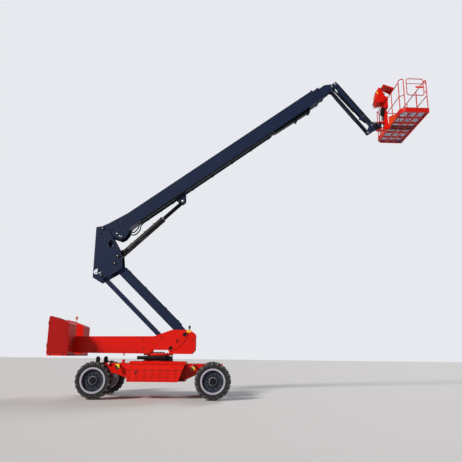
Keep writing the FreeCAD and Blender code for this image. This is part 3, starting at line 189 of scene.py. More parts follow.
def circle(place, radius, height, sides):
    """Points on a circle round the local Z."""
    return [place @ Vector((radius * math.cos(turn), radius * math.sin(turn), height))
            for turn in turns(sides)]


def add_lathe(bm, place, profile, sides=24):
    """Turn a profile of (radius, height) points round the local Z."""
    add_rings(bm, [circle(place, radius, height, sides) for radius, height in profile])


def add_ring(bm, place, profile, sides=48):
    """Turn a closed profile of (radius, height) points, leaving the middle open."""
    add_rings(bm, [circle(place, radius, height, sides) for radius, height in profile], True)


def add_path(bm, path, radius, sides=12):
    """A round tube through the points exactly, without smoothing."""
    rings, side = [], (path[1] - path[0]).orthogonal().normalized()
    for i, here in enumerate(path):
        ahead = (path[min(i + 1, len(path) - 1)] - path[max(i - 1, 0)]).normalized()
        side = (side - ahead * side.dot(ahead)).normalized()
        other = ahead.cross(side)
        rings.append([here + (side * math.cos(turn) + other * math.sin(turn)) * radius
                      for turn in turns(sides)])
    add_rings(bm, rings)


print("rings and tubes ready")

# %% [markdown]
# A hose sags in one smooth sweep, so its line runs through all its points
# without a corner. A bent rail is straight tube with short arcs, as a tube
# bender leaves it, so only its corners are rounded.

# %% Lines for hoses and bent tube


def smooth_line(points, steps=6):
    """A curve through all the points that leaves each one without a corner."""
    line = []
    ends = [points[0] * 2 - points[1]] + list(points) + [points[-1] * 2 - points[-2]]
    for a, b, c, d in zip(ends, ends[1:], ends[2:], ends[3:]):
        for k in range(steps):
            t = k / steps
            line.append(((b * 2) + (c - a) * t + (a * 2 - b * 5 + c * 4 - d) * t * t
                         + (b * 3 - a - c * 3 + d) * t ** 3) * 0.5)
    return line + [points[-1]]


def add_tube(bm, points, radius, sides=10):
    """A round hose or pipe along a smooth line through the points."""
    add_path(bm, smooth_line([Vector(point) for point in points]), radius, sides)


def bent(corners, radius, steps=6):
    """The corners of a bent tube, each rounded to the given radius."""
    path = [corners[0]]
    for before, here, after in zip(corners, corners[1:], corners[2:]):
        back, ahead = (before - here).normalized(), (after - here).normalized()
        reach = radius / math.tan(back.angle(ahead) / 2)
        start, end = here + back * reach, here + ahead * reach
        for k in range(steps + 1):
            t = k / steps
            path.append(start * (1 - t) ** 2 + here * 2 * t * (1 - t) + end * t * t)
    return path + [corners[-1]]


print("hose and rail lines ready")

# %% [markdown]
# Plates and blocks get a small chamfer. Real steel has no sharp corners, and
# the thin bright line along a rounded edge tells the eye how big a thing is.

# %% Blocks and plates


def add_block(bm, place, size, chamfer=0.0):
    """A block with rounded edges, centred on the place."""
    made = bmesh.ops.create_cube(bm, size=1.0, matrix=place @ Matrix.Diagonal((*size, 1)))
    if chamfer > 0:
        edges = {e for v in made["verts"] for e in v.link_edges}
        bmesh.ops.bevel(bm, geom=list(edges), offset=chamfer, segments=2, affect="EDGES",
                        profile=0.6)


def add_prism(bm, outline, depth, chamfer=0.0):
    """A plate cut to an outline of points and as deep as the given vector."""
    near = [bm.verts.new(p) for p in outline]
    far = [bm.verts.new(p + depth) for p in outline]
    count = len(near)
    faces = [bm.faces.new(near), bm.faces.new(list(reversed(far)))]
    for i in range(count):
        j = (i + 1) % count
        faces.append(bm.faces.new((near[j], near[i], far[i], far[j])))
    if chamfer > 0:
        edges = {e for f in faces for e in f.edges}
        bmesh.ops.bevel(bm, geom=list(edges), offset=chamfer, segments=1, affect="EDGES")


def add_plate(bm, ruler, outline, y, thick, chamfer=0.0):
    """A plate seen from the side: its outline on a ruler, from y outwards."""
    add_prism(bm, [ruler(s, y, n) for s, n in outline], Vector((0, thick, 0)), chamfer)


print("blocks and plates ready")

# %% [markdown]
# The machine's small hardware comes in three kinds: a hexagon bolt on its
# washer, a hose fitting with its crimped ferrule, and the end of a hinge pin
# held by a keeper plate. Their sizes all follow from one size each, as in a
# standard's table, so a bolt of any width looks like a bolt.

# %% Bolts, fittings and pin ends


def add_bolt(bm, point, axis, width=0.03, washer=True):
    """A hexagon head on a washer, slightly domed."""
    place = standing(point, axis)
    if washer:
        add_lathe(bm, place, [(width * 0.78, 0), (width * 0.78, width * 0.1),
                              (width * 0.74, width * 0.13)], 16)
    start = width * 0.13 if washer else 0.0
    across = width * 0.577
    add_lathe(bm, place, [(across, start), (across, start + width * 0.42),
                          (across * 0.86, start + width * 0.5)], 6)


def add_fitting(bm, point, axis, size):
    """A hose fitting: a hexagon nut with a crimped ferrule behind it."""
    place = standing(point, axis)
    add_lathe(bm, place, [(size * 0.62, 0), (size * 0.62, size * 0.7)], 6)
    add_lathe(bm, place, [(size * 0.5, size * 0.65), (size * 0.55, size * 0.8),
                          (size * 0.55, size * 1.9), (size * 0.44, size * 2.0)], 14)


def add_pin_end(bm, point, axis, radius, lean=None):
    """The end of a hinge pin. With a lean it has a keeper plate and two bolts."""
    place = standing(point, axis)
    add_lathe(bm, place, [(radius, 0), (radius, 0.006), (radius - 0.005, 0.011)], 28)
    add_lathe(bm, place, [(radius * 0.16, 0.010), (radius * 0.16, 0.020),
                          (radius * 0.1, 0.024)], 10)
    if lean is None:
        return
    keeper = place @ Matrix.Rotation(lean, 4, "Z") @ at(radius * 1.15, 0, 0)
    add_block(bm, keeper @ at(0, 0, 0.005), (radius * 0.5, radius * 1.9, 0.010), 0.002)
    for step in MIRROR_SIDES:
        centre = (keeper @ at(0, step * radius * 0.62, 0.010)).translation
        add_bolt(bm, centre, axis, radius * 0.42)


print("hardware ready")

# %% [markdown]
# ## Colours and the one node helper
# Hex colours are what a screen shows. The renderer works in linear light, so
# one function turns the one into the other. One more adds a node, sets its
# sockets and links what feeds it, and every finish below is made with it.

# %% Colour and node helpers
RED_BODY = "#D81202"


def colour(code):
    """sRGB hex to linear light."""
    values = [int(code[i:i + 2], 16) / 255 for i in (1, 3, 5)]
    return [v / 12.92 if v <= 0.04045 else ((v + 0.055) / 1.055) ** 2.4 for v in values] + [1.0]


def shade(code, share):
    """A colour made darker, or lighter above one, in linear light."""
    return [min(1.0, v * share) for v in colour(code)[:3]] + [1.0]


def add(material, kind, settings=None, links=None):
    """Add one node, set its sockets and link what feeds it."""
    node = material.node_tree.nodes.new(kind)
    for key, value in (settings or {}).items():
        if isinstance(key, str) and hasattr(node, key):
            setattr(node, key, value)
        else:
            node.inputs[key].default_value = value
    for key, source in (links or {}).items():
        material.node_tree.links.new(source, node.inputs[key])
    return node


def new_material(name, **sockets):
    """A material whose shader has these constant settings."""
    material = bpy.data.materials.new(name)
    material.use_nodes = True
    shader = material.node_tree.nodes["Principled BSDF"]
    for key, value in sockets.items():
        shader.inputs[key.replace("_", " ")].default_value = value
    return material, shader


def feed(material, source, shader, socket):
    """Link what a node gives to one of the shader's sockets."""
    material.node_tree.links.new(source, shader.inputs[socket])


print("red paint in linear light", [round(v, 3) for v in colour(RED_BODY)[:3]])

# %% [markdown]
# A noise texture with nothing linked to its vector is laid in the piece's own
# box, which runs from 0 to 1 along each side. A scale worked out for a piece
# one metre across is therefore right on a wheel and coarser on a longer piece:
# along the boom the patches of tone are drawn out into long streaks.

# %% Pattern scale


def millimetres(size):
    """Noise scale for features this many millimetres wide on a piece 1 m across."""
    return 1000.0 / size


print("a 9 mm grain has scale", round(millimetres(9)))

# %% [markdown]
# ## Paint
# The machine wears a two-pack polyurethane paint over primed steel plate. New
# paint is even, so what the eye reads is the slow change of tone across a big
# plate, the fine orange peel in the gloss, dust that settles on top faces, and
# corners where the coat is rubbed thin. Corners come first. A bevel node gives
# the direction that a rounded corner would face; where it differs from the real
# face, an edge is near, and a noise makes the rubbed band uneven.

# %% Worn edges
EDGE_WIDTH = 0.006


def edge_mask(material):
    """White where a corner is nearer than the edge width, black on open faces."""
    rounded = add(material, "ShaderNodeBevel", {"samples": 4, "Radius": EDGE_WIDTH})
    flat = add(material, "ShaderNodeNewGeometry")
    agree = add(material, "ShaderNodeVectorMath", {"operation": "DOT_PRODUCT"},
                {0: rounded.outputs["Normal"], 1: flat.outputs["Normal"]})
    grain = add(material, "ShaderNodeTexNoise", {"Scale": millimetres(18), "Detail": 6.0})
    level = add(material, "ShaderNodeMath", {"operation": "MULTIPLY_ADD", 1: 0.16, 2: 0.86},
                {0: grain.outputs["Fac"]})
    return add(material, "ShaderNodeMath", {"operation": "LESS_THAN"},
               {0: agree.outputs["Value"], 1: level.outputs[0]}).outputs[0]


print("edges are worn over", round(EDGE_WIDTH * 1000), "mm")

# %% [markdown]
# Tone, dust, worn edges, gloss and orange peel are each one small group of
# nodes, and every painted finish shares them. Dust follows the direction a face
# looks in, so it lies only on faces that look up. The machine works outdoors
# and its gloss is dulled, so the specular level is low.

# %% Painted steel


def painted(name, body, worn, dusty, roughness, dust=0.2, wear=0.6, shine=0.2):
    """Paint with slow changes of tone, settled dust, orange peel and worn edges."""
    material, shader = new_material(name, IOR=1.5, Coat_Weight=0.1, Coat_Roughness=0.12,
                                    Specular_IOR_Level=shine)
    broad = add(material, "ShaderNodeTexNoise", {"Scale": millimetres(900), "Detail": 3.0})
    tone = add(material, "ShaderNodeValToRGB", {}, {"Fac": broad.outputs["Fac"]})
    dark, light = tone.color_ramp.elements
    dark.position, dark.color = 0.3, shade(body, 0.84)
    light.position, light.color = 0.72, colour(body)
    geometry = add(material, "ShaderNodeNewGeometry")
    split = add(material, "ShaderNodeSeparateXYZ", {}, {0: geometry.outputs["Normal"]})
    grime = add(material, "ShaderNodeTexNoise", {"Scale": millimetres(160), "Detail": 8.0,
                                                 "Roughness": 0.7})
    settle = add(material, "ShaderNodeMapRange",
                 {"From Min": 0.2, "From Max": 1.0, "To Min": 0.0, "To Max": dust},
                 {"Value": split.outputs["Z"]})
    patchy = add(material, "ShaderNodeMath", {"operation": "MULTIPLY"},
                 {0: settle.outputs["Result"], 1: grime.outputs["Fac"]})
    dusted = add(material, "ShaderNodeMix", {"data_type": "RGBA", 7: colour(dusty)},
                 {0: patchy.outputs[0], 6: tone.outputs["Color"]})
    rubbed = add(material, "ShaderNodeMath", {"operation": "MULTIPLY", 1: wear},
                 {0: edge_mask(material)})
    edge = add(material, "ShaderNodeMix", {"data_type": "RGBA", 7: colour(worn)},
               {0: rubbed.outputs[0], 6: dusted.outputs[2]})
    feed(material, edge.outputs[2], shader, "Base Color")
    gloss = add(material, "ShaderNodeMapRange",
                {"To Min": roughness * 0.8, "To Max": roughness * 1.35},
                {"Value": grime.outputs["Fac"]})
    feed(material, gloss.outputs["Result"], shader, "Roughness")
    peel = add(material, "ShaderNodeTexNoise", {"Scale": millimetres(9), "Detail": 2.0})
    bump = add(material, "ShaderNodeBump", {"Strength": 0.05, "Distance": 0.001},
               {"Height": peel.outputs["Fac"]})
    feed(material, bump.outputs["Normal"], shader, "Normal")
    return material


print("paint recipe ready")

# %% [markdown]
# The paints differ only in colour and in how far the weather has got, so each
# one is a line: its body colour, the colour where it is worn, its dust, then
# roughness, amount of dust, wear at the edges and specular level. The tail doors
# are moulded hoods, and their red is darker than the paint as painted shade: the
# shade that light falling at a slant leaves on their sides.

# %% The paints
RED = painted("red_polyurethane_paint", RED_BODY, "#EA4A30", "#C85A42", 0.34, 0.14, 0.5)
RED_HOOD_PAINTED_SHADE = painted("red_hood_painted_shade", "#A80602", "#D83A28", "#B85040", 0.3, 0.16, 0.5, 0.25)
# dark red for seams, and for painted shade in the covers' dents and painted shadow under their shoulder
RED_DARK = painted("dark_red_seam_paint_and_painted_shade", "#6E0402", "#8A2018", "#7A3028", 0.5, 0.1, 0.3)
RED_PLATFORM = painted("red_platform_paint", "#C81208", "#E0605A", "#B85A52", 0.38, 0.18, 0.7)
ORANGE = painted("orange_panel_paint", "#E8480C", "#F08A58", "#C87850", 0.4, 0.18, 0.6)
NAVY = painted("dark_blue_polyurethane_paint", "#1A2642", "#3E4A68", "#38445E", 0.36, 0.25)
NAVY_DEEP = painted("shaded_blue_polyurethane_paint", "#0E1526", "#2A3348", "#262E3E", 0.42,
                    0.2, 0.5)
BLACK = painted("black_chassis_enamel", "#0C0D10", "#2E3036", "#34322E", 0.42, 0.3)
RIM_GREY = painted("silver_wheel_enamel", "#A8A6B4", "#D0D0DA", "#8A8680", 0.35, 0.12, 0.8,
                   0.35)
RIM_DARK = painted("slate_wheel_enamel", "#2E3440", "#5A6070", "#4A4844", 0.4, 0.2, 0.7)
print("painted finishes:", RED.name, NAVY.name, BLACK.name, RIM_GREY.name)

# %% [markdown]
# ## Rubber
# Tyre rubber is carbon-black rubber pressed in a mould: almost black, matt, and
# grey with dust where it meets the ground. Dust comes from a rough noise, cut
# so that it stays in patches, and a finer noise gives the moulded pebble.

# %% Rubber


def rubber(name, body, dust, amount, roughness=0.75, grain=6):
    """Moulded rubber with dust in patches and a fine pebble grain."""
    material, shader = new_material(name, IOR=1.52, Specular_IOR_Level=0.3)
    dirt = add(material, "ShaderNodeTexNoise", {"Scale": millimetres(70), "Detail": 9.0,
                                                "Roughness": 0.75})
    level = add(material, "ShaderNodeMapRange", {"From Min": 0.42, "From Max": 0.75,
                                                 "To Min": 0.0, "To Max": amount},
                {"Value": dirt.outputs["Fac"]})
    tone = add(material, "ShaderNodeMix", {"data_type": "RGBA", 6: colour(body), 7: colour(dust)},
               {0: level.outputs["Result"]})
    feed(material, tone.outputs[2], shader, "Base Color")
    rough = add(material, "ShaderNodeMapRange",
                {"To Min": roughness * 0.85, "To Max": roughness * 1.15},
                {"Value": dirt.outputs["Fac"]})
    feed(material, rough.outputs["Result"], shader, "Roughness")
    pebble = add(material, "ShaderNodeTexNoise", {"Scale": millimetres(grain), "Detail": 3.0})
    bump = add(material, "ShaderNodeBump", {"Strength": 0.15, "Distance": 0.001},
               {"Height": pebble.outputs["Fac"]})
    feed(material, bump.outputs["Normal"], shader, "Normal")
    return material


TYRE = rubber("tyre_rubber", "#0F0F11", "#56555A", 0.55)
TREAD = rubber("dusty_tread_rubber", "#1E1E20", "#8A8A88", 0.9)
HOSE = rubber("hose_rubber", "#08090A", "#2E2E30", 0.3, 0.5, 4)
print("rubbers:", TYRE.name, TREAD.name, HOSE.name)

# %% [markdown]
# ## Bright and dark metal
# Studs and caps are zinc-plated steel, pale and a little milky. The cylinder
# rods are ground steel, nitrided black: the skin holds its oil film and shines
# only where light grazes it. Grinding leaves fine marks, and a noise varies
# the tone and the roughness together, as those marks do.

# %% Metals
ROUGHNESS_SPREAD = 0.1


def bright_metal(name, body, roughness, mark):
    """Metal with turning or grinding marks this many millimetres long."""
    material, shader = new_material(name, Metallic=1.0)
    marks = add(material, "ShaderNodeTexNoise", {"Scale": millimetres(mark), "Detail": 4.0})
    tone = add(material, "ShaderNodeMix", {"data_type": "RGBA", 6: colour(body),
                                           7: shade(body, 0.72)}, {0: marks.outputs["Fac"]})
    feed(material, tone.outputs[2], shader, "Base Color")
    rough = add(material, "ShaderNodeMapRange", {"To Min": roughness - ROUGHNESS_SPREAD / 2,
                                                 "To Max": roughness + ROUGHNESS_SPREAD / 2},
                {"Value": marks.outputs["Fac"]})
    feed(material, rough.outputs["Result"], shader, "Roughness")
    return material


NITRIDED = bright_metal("black_nitrided_steel", "#1A1B1E", 0.24, 30)
ZINC = bright_metal("zinc_plated_steel", "#D8D8D2", 0.42, 12)
print("metals:", NITRIDED.name, ZINC.name)

# %% [markdown]
# ## Plastics, film and pipe
# Lenses, films and pipe are smooth skins, slightly cloudy from sun and handling,
# with a grain that only shows in the gloss. The pipe's near-white colour is
# painted reflection, the bright sky mirrored along its top. The weathered zinc of
# the deck's mesh has lost its shine and reads in the same way, so it shares the
# recipe with a coarser grain. Only the lenses let light through.

# %% Smooth skins


def smooth_skin(name, body, roughness, clear=0.0, grain=3):
    """A smooth skin with a little cloudiness and a fine grain."""
    material, shader = new_material(name, IOR=1.49, Transmission_Weight=clear)
    cloud = add(material, "ShaderNodeTexNoise", {"Scale": millimetres(120), "Detail": 4.0})
    tone = add(material, "ShaderNodeMix", {"data_type": "RGBA", 6: colour(body),
                                           7: shade(body, 0.8)}, {0: cloud.outputs["Fac"]})
    feed(material, tone.outputs[2], shader, "Base Color")
    rough = add(material, "ShaderNodeMapRange",
                {"To Min": roughness * 0.8, "To Max": roughness * 1.2},
                {"Value": cloud.outputs["Fac"]})
    feed(material, rough.outputs["Result"], shader, "Roughness")
    fine = add(material, "ShaderNodeTexNoise", {"Scale": millimetres(grain)})
    bump = add(material, "ShaderNodeBump", {"Strength": 0.08, "Distance": 0.0005},
               {"Height": fine.outputs["Fac"]})
    feed(material, bump.outputs["Normal"], shader, "Normal")
    return material


AMBER = smooth_skin("amber_polycarbonate", "#F08A10", 0.15, 0.2)
WHITE_LENS = smooth_skin("white_acrylic_lens", "#F4F6FA", 0.15, 0.05)
LAMP_RED = smooth_skin("red_acrylic_lens", "#D80C08", 0.2, 0.1)
MESH_STEEL = smooth_skin("galvanised_mesh_steel", "#6E6488", 0.5, 0.0, 25)
# painted reflection: near white for the sky mirrored along the pipes
PIPE_PAINTED_REFLECTION = smooth_skin("steel_pipe_painted_reflection", "#E6E8EC", 0.25)
BLACK_PLASTIC = smooth_skin("black_polypropylene", "#101113", 0.5)
YELLOW = smooth_skin("yellow_vinyl_film", "#F2D21A", 0.35)
print("skins:", AMBER.name, MESH_STEEL.name, PIPE_PAINTED_REFLECTION.name, YELLOW.name)

# %% [markdown]
# A hazard patch is retro-reflective film with slanting dark bars. A wave
# texture makes bars, and a threshold cuts them clean. The roll repeats every
# half a metre, so each small patch holds one edge between dark and yellow. The
# pattern is laid in the object's own axes, in metres, and keeps its real size.

# %% Hazard film
BAR_REPEAT = 0.5027                    # metres from bar to bar
WAVE_LENGTH = math.tau / 20            # metres from bar to bar at a scale of one


def hazard_film(name, light, dark, turn):
    """Film with slanting bars, its pattern laid in the object's own X and Z."""
    material, shader = new_material(name, IOR=1.46, Coat_Weight=0.3)
    place = add(material, "ShaderNodeTexCoord")
    turned = add(material, "ShaderNodeMapping", {"Rotation": (0, math.radians(turn), 0)},
                 {"Vector": place.outputs["Object"]})
    bars = add(material, "ShaderNodeTexWave",
               {"Scale": WAVE_LENGTH / BAR_REPEAT, "wave_profile": "SIN",
                "bands_direction": "X"}, {"Vector": turned.outputs[0]})
    step = add(material, "ShaderNodeMath", {"operation": "GREATER_THAN", 1: 0.72},
               {0: bars.outputs["Fac"]})
    film = add(material, "ShaderNodeMix",
               {"data_type": "RGBA", 6: colour(light), 7: colour(dark)}, {0: step.outputs[0]})
    feed(material, film.outputs[2], shader, "Base Color")
    scuff = add(material, "ShaderNodeTexNoise", {"Scale": millimetres(30)})
    rough = add(material, "ShaderNodeMapRange", {"To Min": 0.3, "To Max": 0.5},
                {"Value": scuff.outputs["Fac"]})
    feed(material, rough.outputs["Result"], shader, "Roughness")
    return material


HAZARD = hazard_film("yellow_black_hazard_film", "#F4D80C", "#3A2806", 45)
print("hazard film repeats every", round(BAR_REPEAT * 1000), "mm")

# %% [markdown]
# ## Dressing the CAD parts
# The record names a finish slot for every node. One table turns slots into
# materials, and a few nodes get a finish of their own.

# %% Assign finishes
BY_SLOT = {"red": RED, "navy": NAVY, "black": BLACK, "rim": RIM_GREY, "tyre": TYRE,
           "rod": NITRIDED, "carrier": BLACK, "amber": AMBER}
# the tail doors take the darker red that is painted shade on their sides
OWN = {"platform_floor": RED_PLATFORM, "platform_rails": RED_PLATFORM,
       "platform_gate": RED_PLATFORM, "tail_door_left": RED_HOOD_PAINTED_SHADE, "tail_door_right": RED_HOOD_PAINTED_SHADE,
       "jib_link": NAVY_DEEP}
for part in frame["record"]["subparts"]:
    node = nodes[part["node"]]
    finish = OWN.get(part["node"], BY_SLOT[part["material_slot"]])
    for index in range(len(node.data.materials)):
        node.data.materials[index] = finish
    if not node.data.materials:
        node.data.materials.append(finish)
print("dressed", len(nodes), "CAD nodes")

# %% [markdown]
# ## Tyres
# A rough-terrain tyre has heavy lugs that start at the shoulder and run in
# towards the middle, left and right set half a step apart. The CAD tyre is a
# plain ring at full diameter. We replace it by a slightly smaller carcass and
# stand the lugs on it, so that their tops reach the same diameter. The lugs get
# a dustier rubber than the side walls, as they do the walking.

# %% One lug
TREAD_DEPTH, LUG_COUNT, BEAD_RADIUS = 0.034, 20, 0.32
LUG = [(-0.030, 0.012), (0.022, 0.006), (0.040, 0.075), (0.043, 0.172), (-0.036, 0.172),
       (-0.026, 0.085)]   # a lug from above: along the tyre, then out from its middle


def add_lug(bm, place, turn, side, base, outer, half):
    """One lug: its foot sunk in the carcass, its top narrower than its foot."""
    foot, top = [], []
    for along, across in LUG:
        across = min(across, half - 0.006)
        drop = 0.030 if across > half - 0.03 else 0.0
        for ring, radius, squeeze in ((foot, base - 0.02 - drop, 1.0), (top, outer - drop, 0.9)):
            here = turn + along * squeeze / outer
            y = side * (across if ring is foot else min(across, half - 0.012))
            ring.append(bm.verts.new(place @ Vector((radius * math.cos(here),
                                                     radius * math.sin(here), y))))
    count = len(foot)
    for i in range(count):
        j = (i + 1) % count
        bm.faces.new((foot[i], foot[j], top[j], top[i]))
    bm.faces.new(top)
    bm.faces.new(list(reversed(foot)))


print("a lug stands", round(TREAD_DEPTH * 1000), "mm high")

# %% Tyres with lugs


def make_tyre(corner):
    """The carcass and the lugs of one tyre, in place of the CAD ring."""
    low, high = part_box("tyre_" + corner)
    outer, half = (high.x - low.x) / 2, (high.y - low.y) / 2
    inner, base = BEAD_RADIUS, outer - TREAD_DEPTH
    place = standing((low + high) / 2, (0, 1, 0))
    bm = bmesh.new()
    wall = [(inner, -half + 0.03), (inner + 0.01, -half + 0.008), (inner + 0.045, -half),
            (inner + 0.05, -half + 0.007), (inner + 0.07, -half + 0.007),
            (inner + 0.076, -half + 0.001), (inner + 0.11, -half + 0.001),
            (inner + 0.116, -half + 0.006), (base - 0.03, -half + 0.014), (base, -half + 0.045)]
    crown = [(base + 0.004, 0)]
    add_ring(bm, place, wall + crown + [(r, -h) for r, h in reversed(wall)], LUG_COUNT * 4)
    carcass = finish_mesh("tyre_carcass_" + corner, bm, TYRE, "wheel_" + corner, 35)
    bm = bmesh.new()
    for side in MIRROR_SIDES:
        for turn in turns(LUG_COUNT, 0.25 if side > 0 else 0.75):
            add_lug(bm, place, turn, side, base, outer, half)
    for side in MIRROR_SIDES:
        for turn in turns(LUG_COUNT * 2, 0.5):
            rib = at(base - 0.052, 0, side * (half - 0.008))
            add_block(bm, place @ Matrix.Rotation(turn, 4, "Z") @ rib, (0.050, 0.030, 0.012),
                      0.003)
    finish_mesh("tyre_lugs_" + corner, bm, TREAD, "wheel_" + corner, 35)
    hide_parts("tyre_" + corner)


CORNERS = [axle + "_" + side for axle in ("drive", "steer") for side in ("left", "right")]
for corner in CORNERS:
    make_tyre(corner)
print("made four tyres with", 2 * LUG_COUNT, "lugs each")

# %% [markdown]
# The wheel itself is a pressed dish welded in a bright rim. The dish is painted
# slate, the planetary hub in its middle is black, and ten cone nuts hold the
# dish on. We lay a thin pressed skin with eight raised dimples over the CAD
# dish, cap the hub, and add the nuts and the valve. Heights are measured from
# the rim's inner face.

# %% Wheel dishes, hubs and nuts
NUT_CIRCLE, HUB_CIRCLE, NUT_COUNT, DIMPLE_COUNT = 0.165, 0.085, 10, 8
DISH_FACE, HUB_FACE = 0.2585, 0.316


def around(place, turn, radius, height):
    """The place on a circle round the local Z, square to it."""
    return place @ at(radius * math.cos(turn), radius * math.sin(turn), height)


def make_wheel_details(corner):
    """The painted dish, the hub's cap and the nuts of one wheel."""
    low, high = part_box("rim_" + corner)
    side = 1 if corner.endswith("left") else -1
    centre = (low + high) / 2
    inner_face = centre.y - side * (high.y - low.y) / 2
    place = standing((centre.x, inner_face, centre.z), (0, side, 0))
    body = "wheel_" + corner
    bm = bmesh.new()
    add_ring(bm, place, [(0.3, 0.2305), (0.3, 0.2335), (0.29, 0.2345), (0.212, DISH_FACE),
                         (0.121, DISH_FACE), (0.121, 0.2560), (0.211, 0.2560), (0.289, 0.2320)])
    for turn in turns(DIMPLE_COUNT, 0.5):
        spot = place @ Matrix.Rotation(turn, 4, "Z") @ at(0.252, 0, 0.2445)
        add_lathe(bm, spot @ Matrix.Rotation(0.28, 4, "Y"),
                  [(0.026, 0), (0.026, 0.004), (0.020, 0.005), (0.016, -0.002)], 16)
    finish_mesh("wheel_dish_" + corner, bm, RIM_DARK, body, 30)
    bm = bmesh.new()
    add_lathe(bm, place, [(0.1215, 0.258), (0.1215, 0.296), (0.116, 0.302), (0.104, 0.303),
                          (0.100, HUB_FACE), (0.064, 0.317), (0.060, 0.322), (0.018, 0.323),
                          (0.016, 0.319), (0.010, 0.319)], 40)
    for turn in turns(NUT_COUNT, 0.5):
        spot = around(place, turn, HUB_CIRCLE, HUB_FACE)
        add_bolt(bm, spot.translation, (0, side, 0), 0.016, False)
    finish_mesh("wheel_hub_" + corner, bm, BLACK, body)
    bm = bmesh.new()
    for turn in turns(NUT_COUNT, 0.5):
        spot = around(place, turn, NUT_CIRCLE, DISH_FACE)
        add_lathe(bm, spot, [(0.020, 0), (0.020, 0.006), (0.0165, 0.012)], 16)
        add_lathe(bm, spot, [(0.0165, 0.010), (0.0165, 0.026), (0.014, 0.030)], 6)
        add_lathe(bm, spot, [(0.009, 0.028), (0.009, 0.036), (0.007, 0.038)], 10)
    valve = ((0.285, 0, 0.24), (0.283, 0, 0.27), (0.278, 0, 0.295))
    add_tube(bm, [place @ Vector(point) for point in valve], 0.006, 8)
    finish_mesh("wheel_nuts_" + corner, bm, BLACK, body, 35)


for corner in CORNERS:
    make_wheel_details(corner)
print("dished and bolted four wheels")

# %% [markdown]
# ## Chassis
# The side covers are pressed sheet: rows of short dashes stiffen the flat face
# so that it doesn't drum, and below the shoulder runs a seam in shadow. Dents
# this shallow show only by their shade, so we lay thin dark blocks on the face as
# painted shade, add a dark strip under the shoulder as painted shadow, and leave
# the CAD cover as it is.

# %% Pressed covers
COVER_LOW, COVER_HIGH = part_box("side_cover_left")
COVER_FACE, COVER_REAR, COVER_END = COVER_HIGH.y, COVER_LOW.x, COVER_HIGH.x
SHOULDER = 0.800
LEADING_EDGE_SLOPE = 0.379   # metres forward for each metre up

# painted shade: each dark dash stands for the shade in a pressed dent
bm = bmesh.new()
for side in MIRROR_SIDES:
    for column in range(7):
        for row in range(4):
            x, z = -0.695 + column * 0.215, 0.520 + row * 0.080
            if x > COVER_END - 0.25 + (z - COVER_LOW.z) * LEADING_EDGE_SLOPE:
                continue
            add_block(bm, at(x, side * COVER_FACE, z), (0.062, 0.006, 0.016), 0.0025)
finish_mesh("cover_dimples_painted_shade", bm, RED_DARK, "chassis", smooth=60)

# painted shadow: the long dark strip under the shoulder; the two short strips are seams
bm = bmesh.new()
for side in MIRROR_SIDES:
    long = COVER_END - COVER_REAR - 0.07
    add_block(bm, at(COVER_REAR + long / 2, side * COVER_FACE, SHOULDER - 0.008),
              (long, 0.004, 0.011), 0.001)
    for x in (COVER_REAR + 0.52, COVER_REAR + 1.06):
        add_block(bm, at(x, side * COVER_FACE, 0.63), (0.004, 0.003, 0.30), 0.001)
finish_mesh("cover_seams_and_painted_shadow", bm, RED_DARK, "chassis")

bm = bmesh.new()
for side in MIRROR_SIDES:
    for step in (0.05, 0.40, 0.80, 1.20):
        add_bolt(bm, (COVER_REAR + step, side * (COVER_FACE + 0.0005), COVER_LOW.z + 0.022),
                 (0, side, 0), 0.013)
    for step in (0.21, 0.30):
        add_lathe(bm, standing((COVER_REAR + step, side * COVER_FACE, 0.735), (0, side, 0)),
                  [(0.014, 0), (0.014, 0.003), (0.006, 0.006)], 16)
    # the black block stands for the handle slot: painted shade in its recess
    add_block(bm, at(COVER_REAR + 0.255, side * (COVER_FACE - 0.002), 0.710),
              (0.032, 0.010, 0.104), 0.002)
finish_mesh("cover_fasteners_and_slot_shade", bm, BLACK, "chassis")
print("covers are", round(COVER_END - COVER_REAR, 2), "m long")

# %% [markdown]
# Lamps and hazard film stand on small plates beside the wheels, where they show
# the machine's corners to a driver. The front plate is upright, with its film
# below the lamp, and the rear one has a corner cut off. The film is cut a
# little smaller than its plate and lies a few millimetres further out.

# %% Lamp plates and film
PLATE_Y, PLATE_THICK, FILM_THICK, BRACKET_Y = 0.590, 0.004, 0.002, 0.500
FRONT_X, REAR_X, TAIL_X = 1.060, -1.110, -1.376
FRONT_PLATE = [(1.000, 0.755), (1.120, 0.755), (1.120, 0.955), (1.000, 0.955)]
FRONT_FILM = [(1.002, 0.765), (1.118, 0.765), (1.118, 0.875), (1.002, 0.875)]
REAR_PLATE = [(-1.170, 0.850), (-1.120, 0.774), (-1.040, 0.774), (-1.040, 0.944),
              (-1.170, 0.944)]
REAR_FILM = [(-1.165, 0.850), (-1.118, 0.780), (-1.045, 0.780), (-1.045, 0.938),
             (-1.165, 0.938)]

bm = bmesh.new()
for side in MIRROR_SIDES:
    for outline in (FRONT_PLATE, REAR_PLATE):
        add_plate(bm, MACHINE, outline, side * PLATE_Y, side * PLATE_THICK, 0.001)
    for x, z in ((FRONT_X, 0.945), (FRONT_X, 0.770), (REAR_X, 0.930)):
        add_block(bm, at(x, side * BRACKET_Y, z), (0.10, 0.18, 0.008), 0.002)
    add_block(bm, at(TAIL_X, side * 0.415, 0.930), (0.09, 0.09, 0.008), 0.002)
    for x in (-1.715, -1.585):
        add_block(bm, at(x, side * 0.480, 0.935), (0.020, 0.10, 0.075), 0.004)
finish_mesh("lamp_brackets", bm, RED, "chassis")

bm = bmesh.new()
for side in MIRROR_SIDES:
    for outline in (FRONT_FILM, REAR_FILM):
        add_plate(bm, MACHINE, outline, side * (PLATE_Y + 0.005), side * FILM_THICK)
finish_mesh("hazard_patches", bm, HAZARD, "chassis")

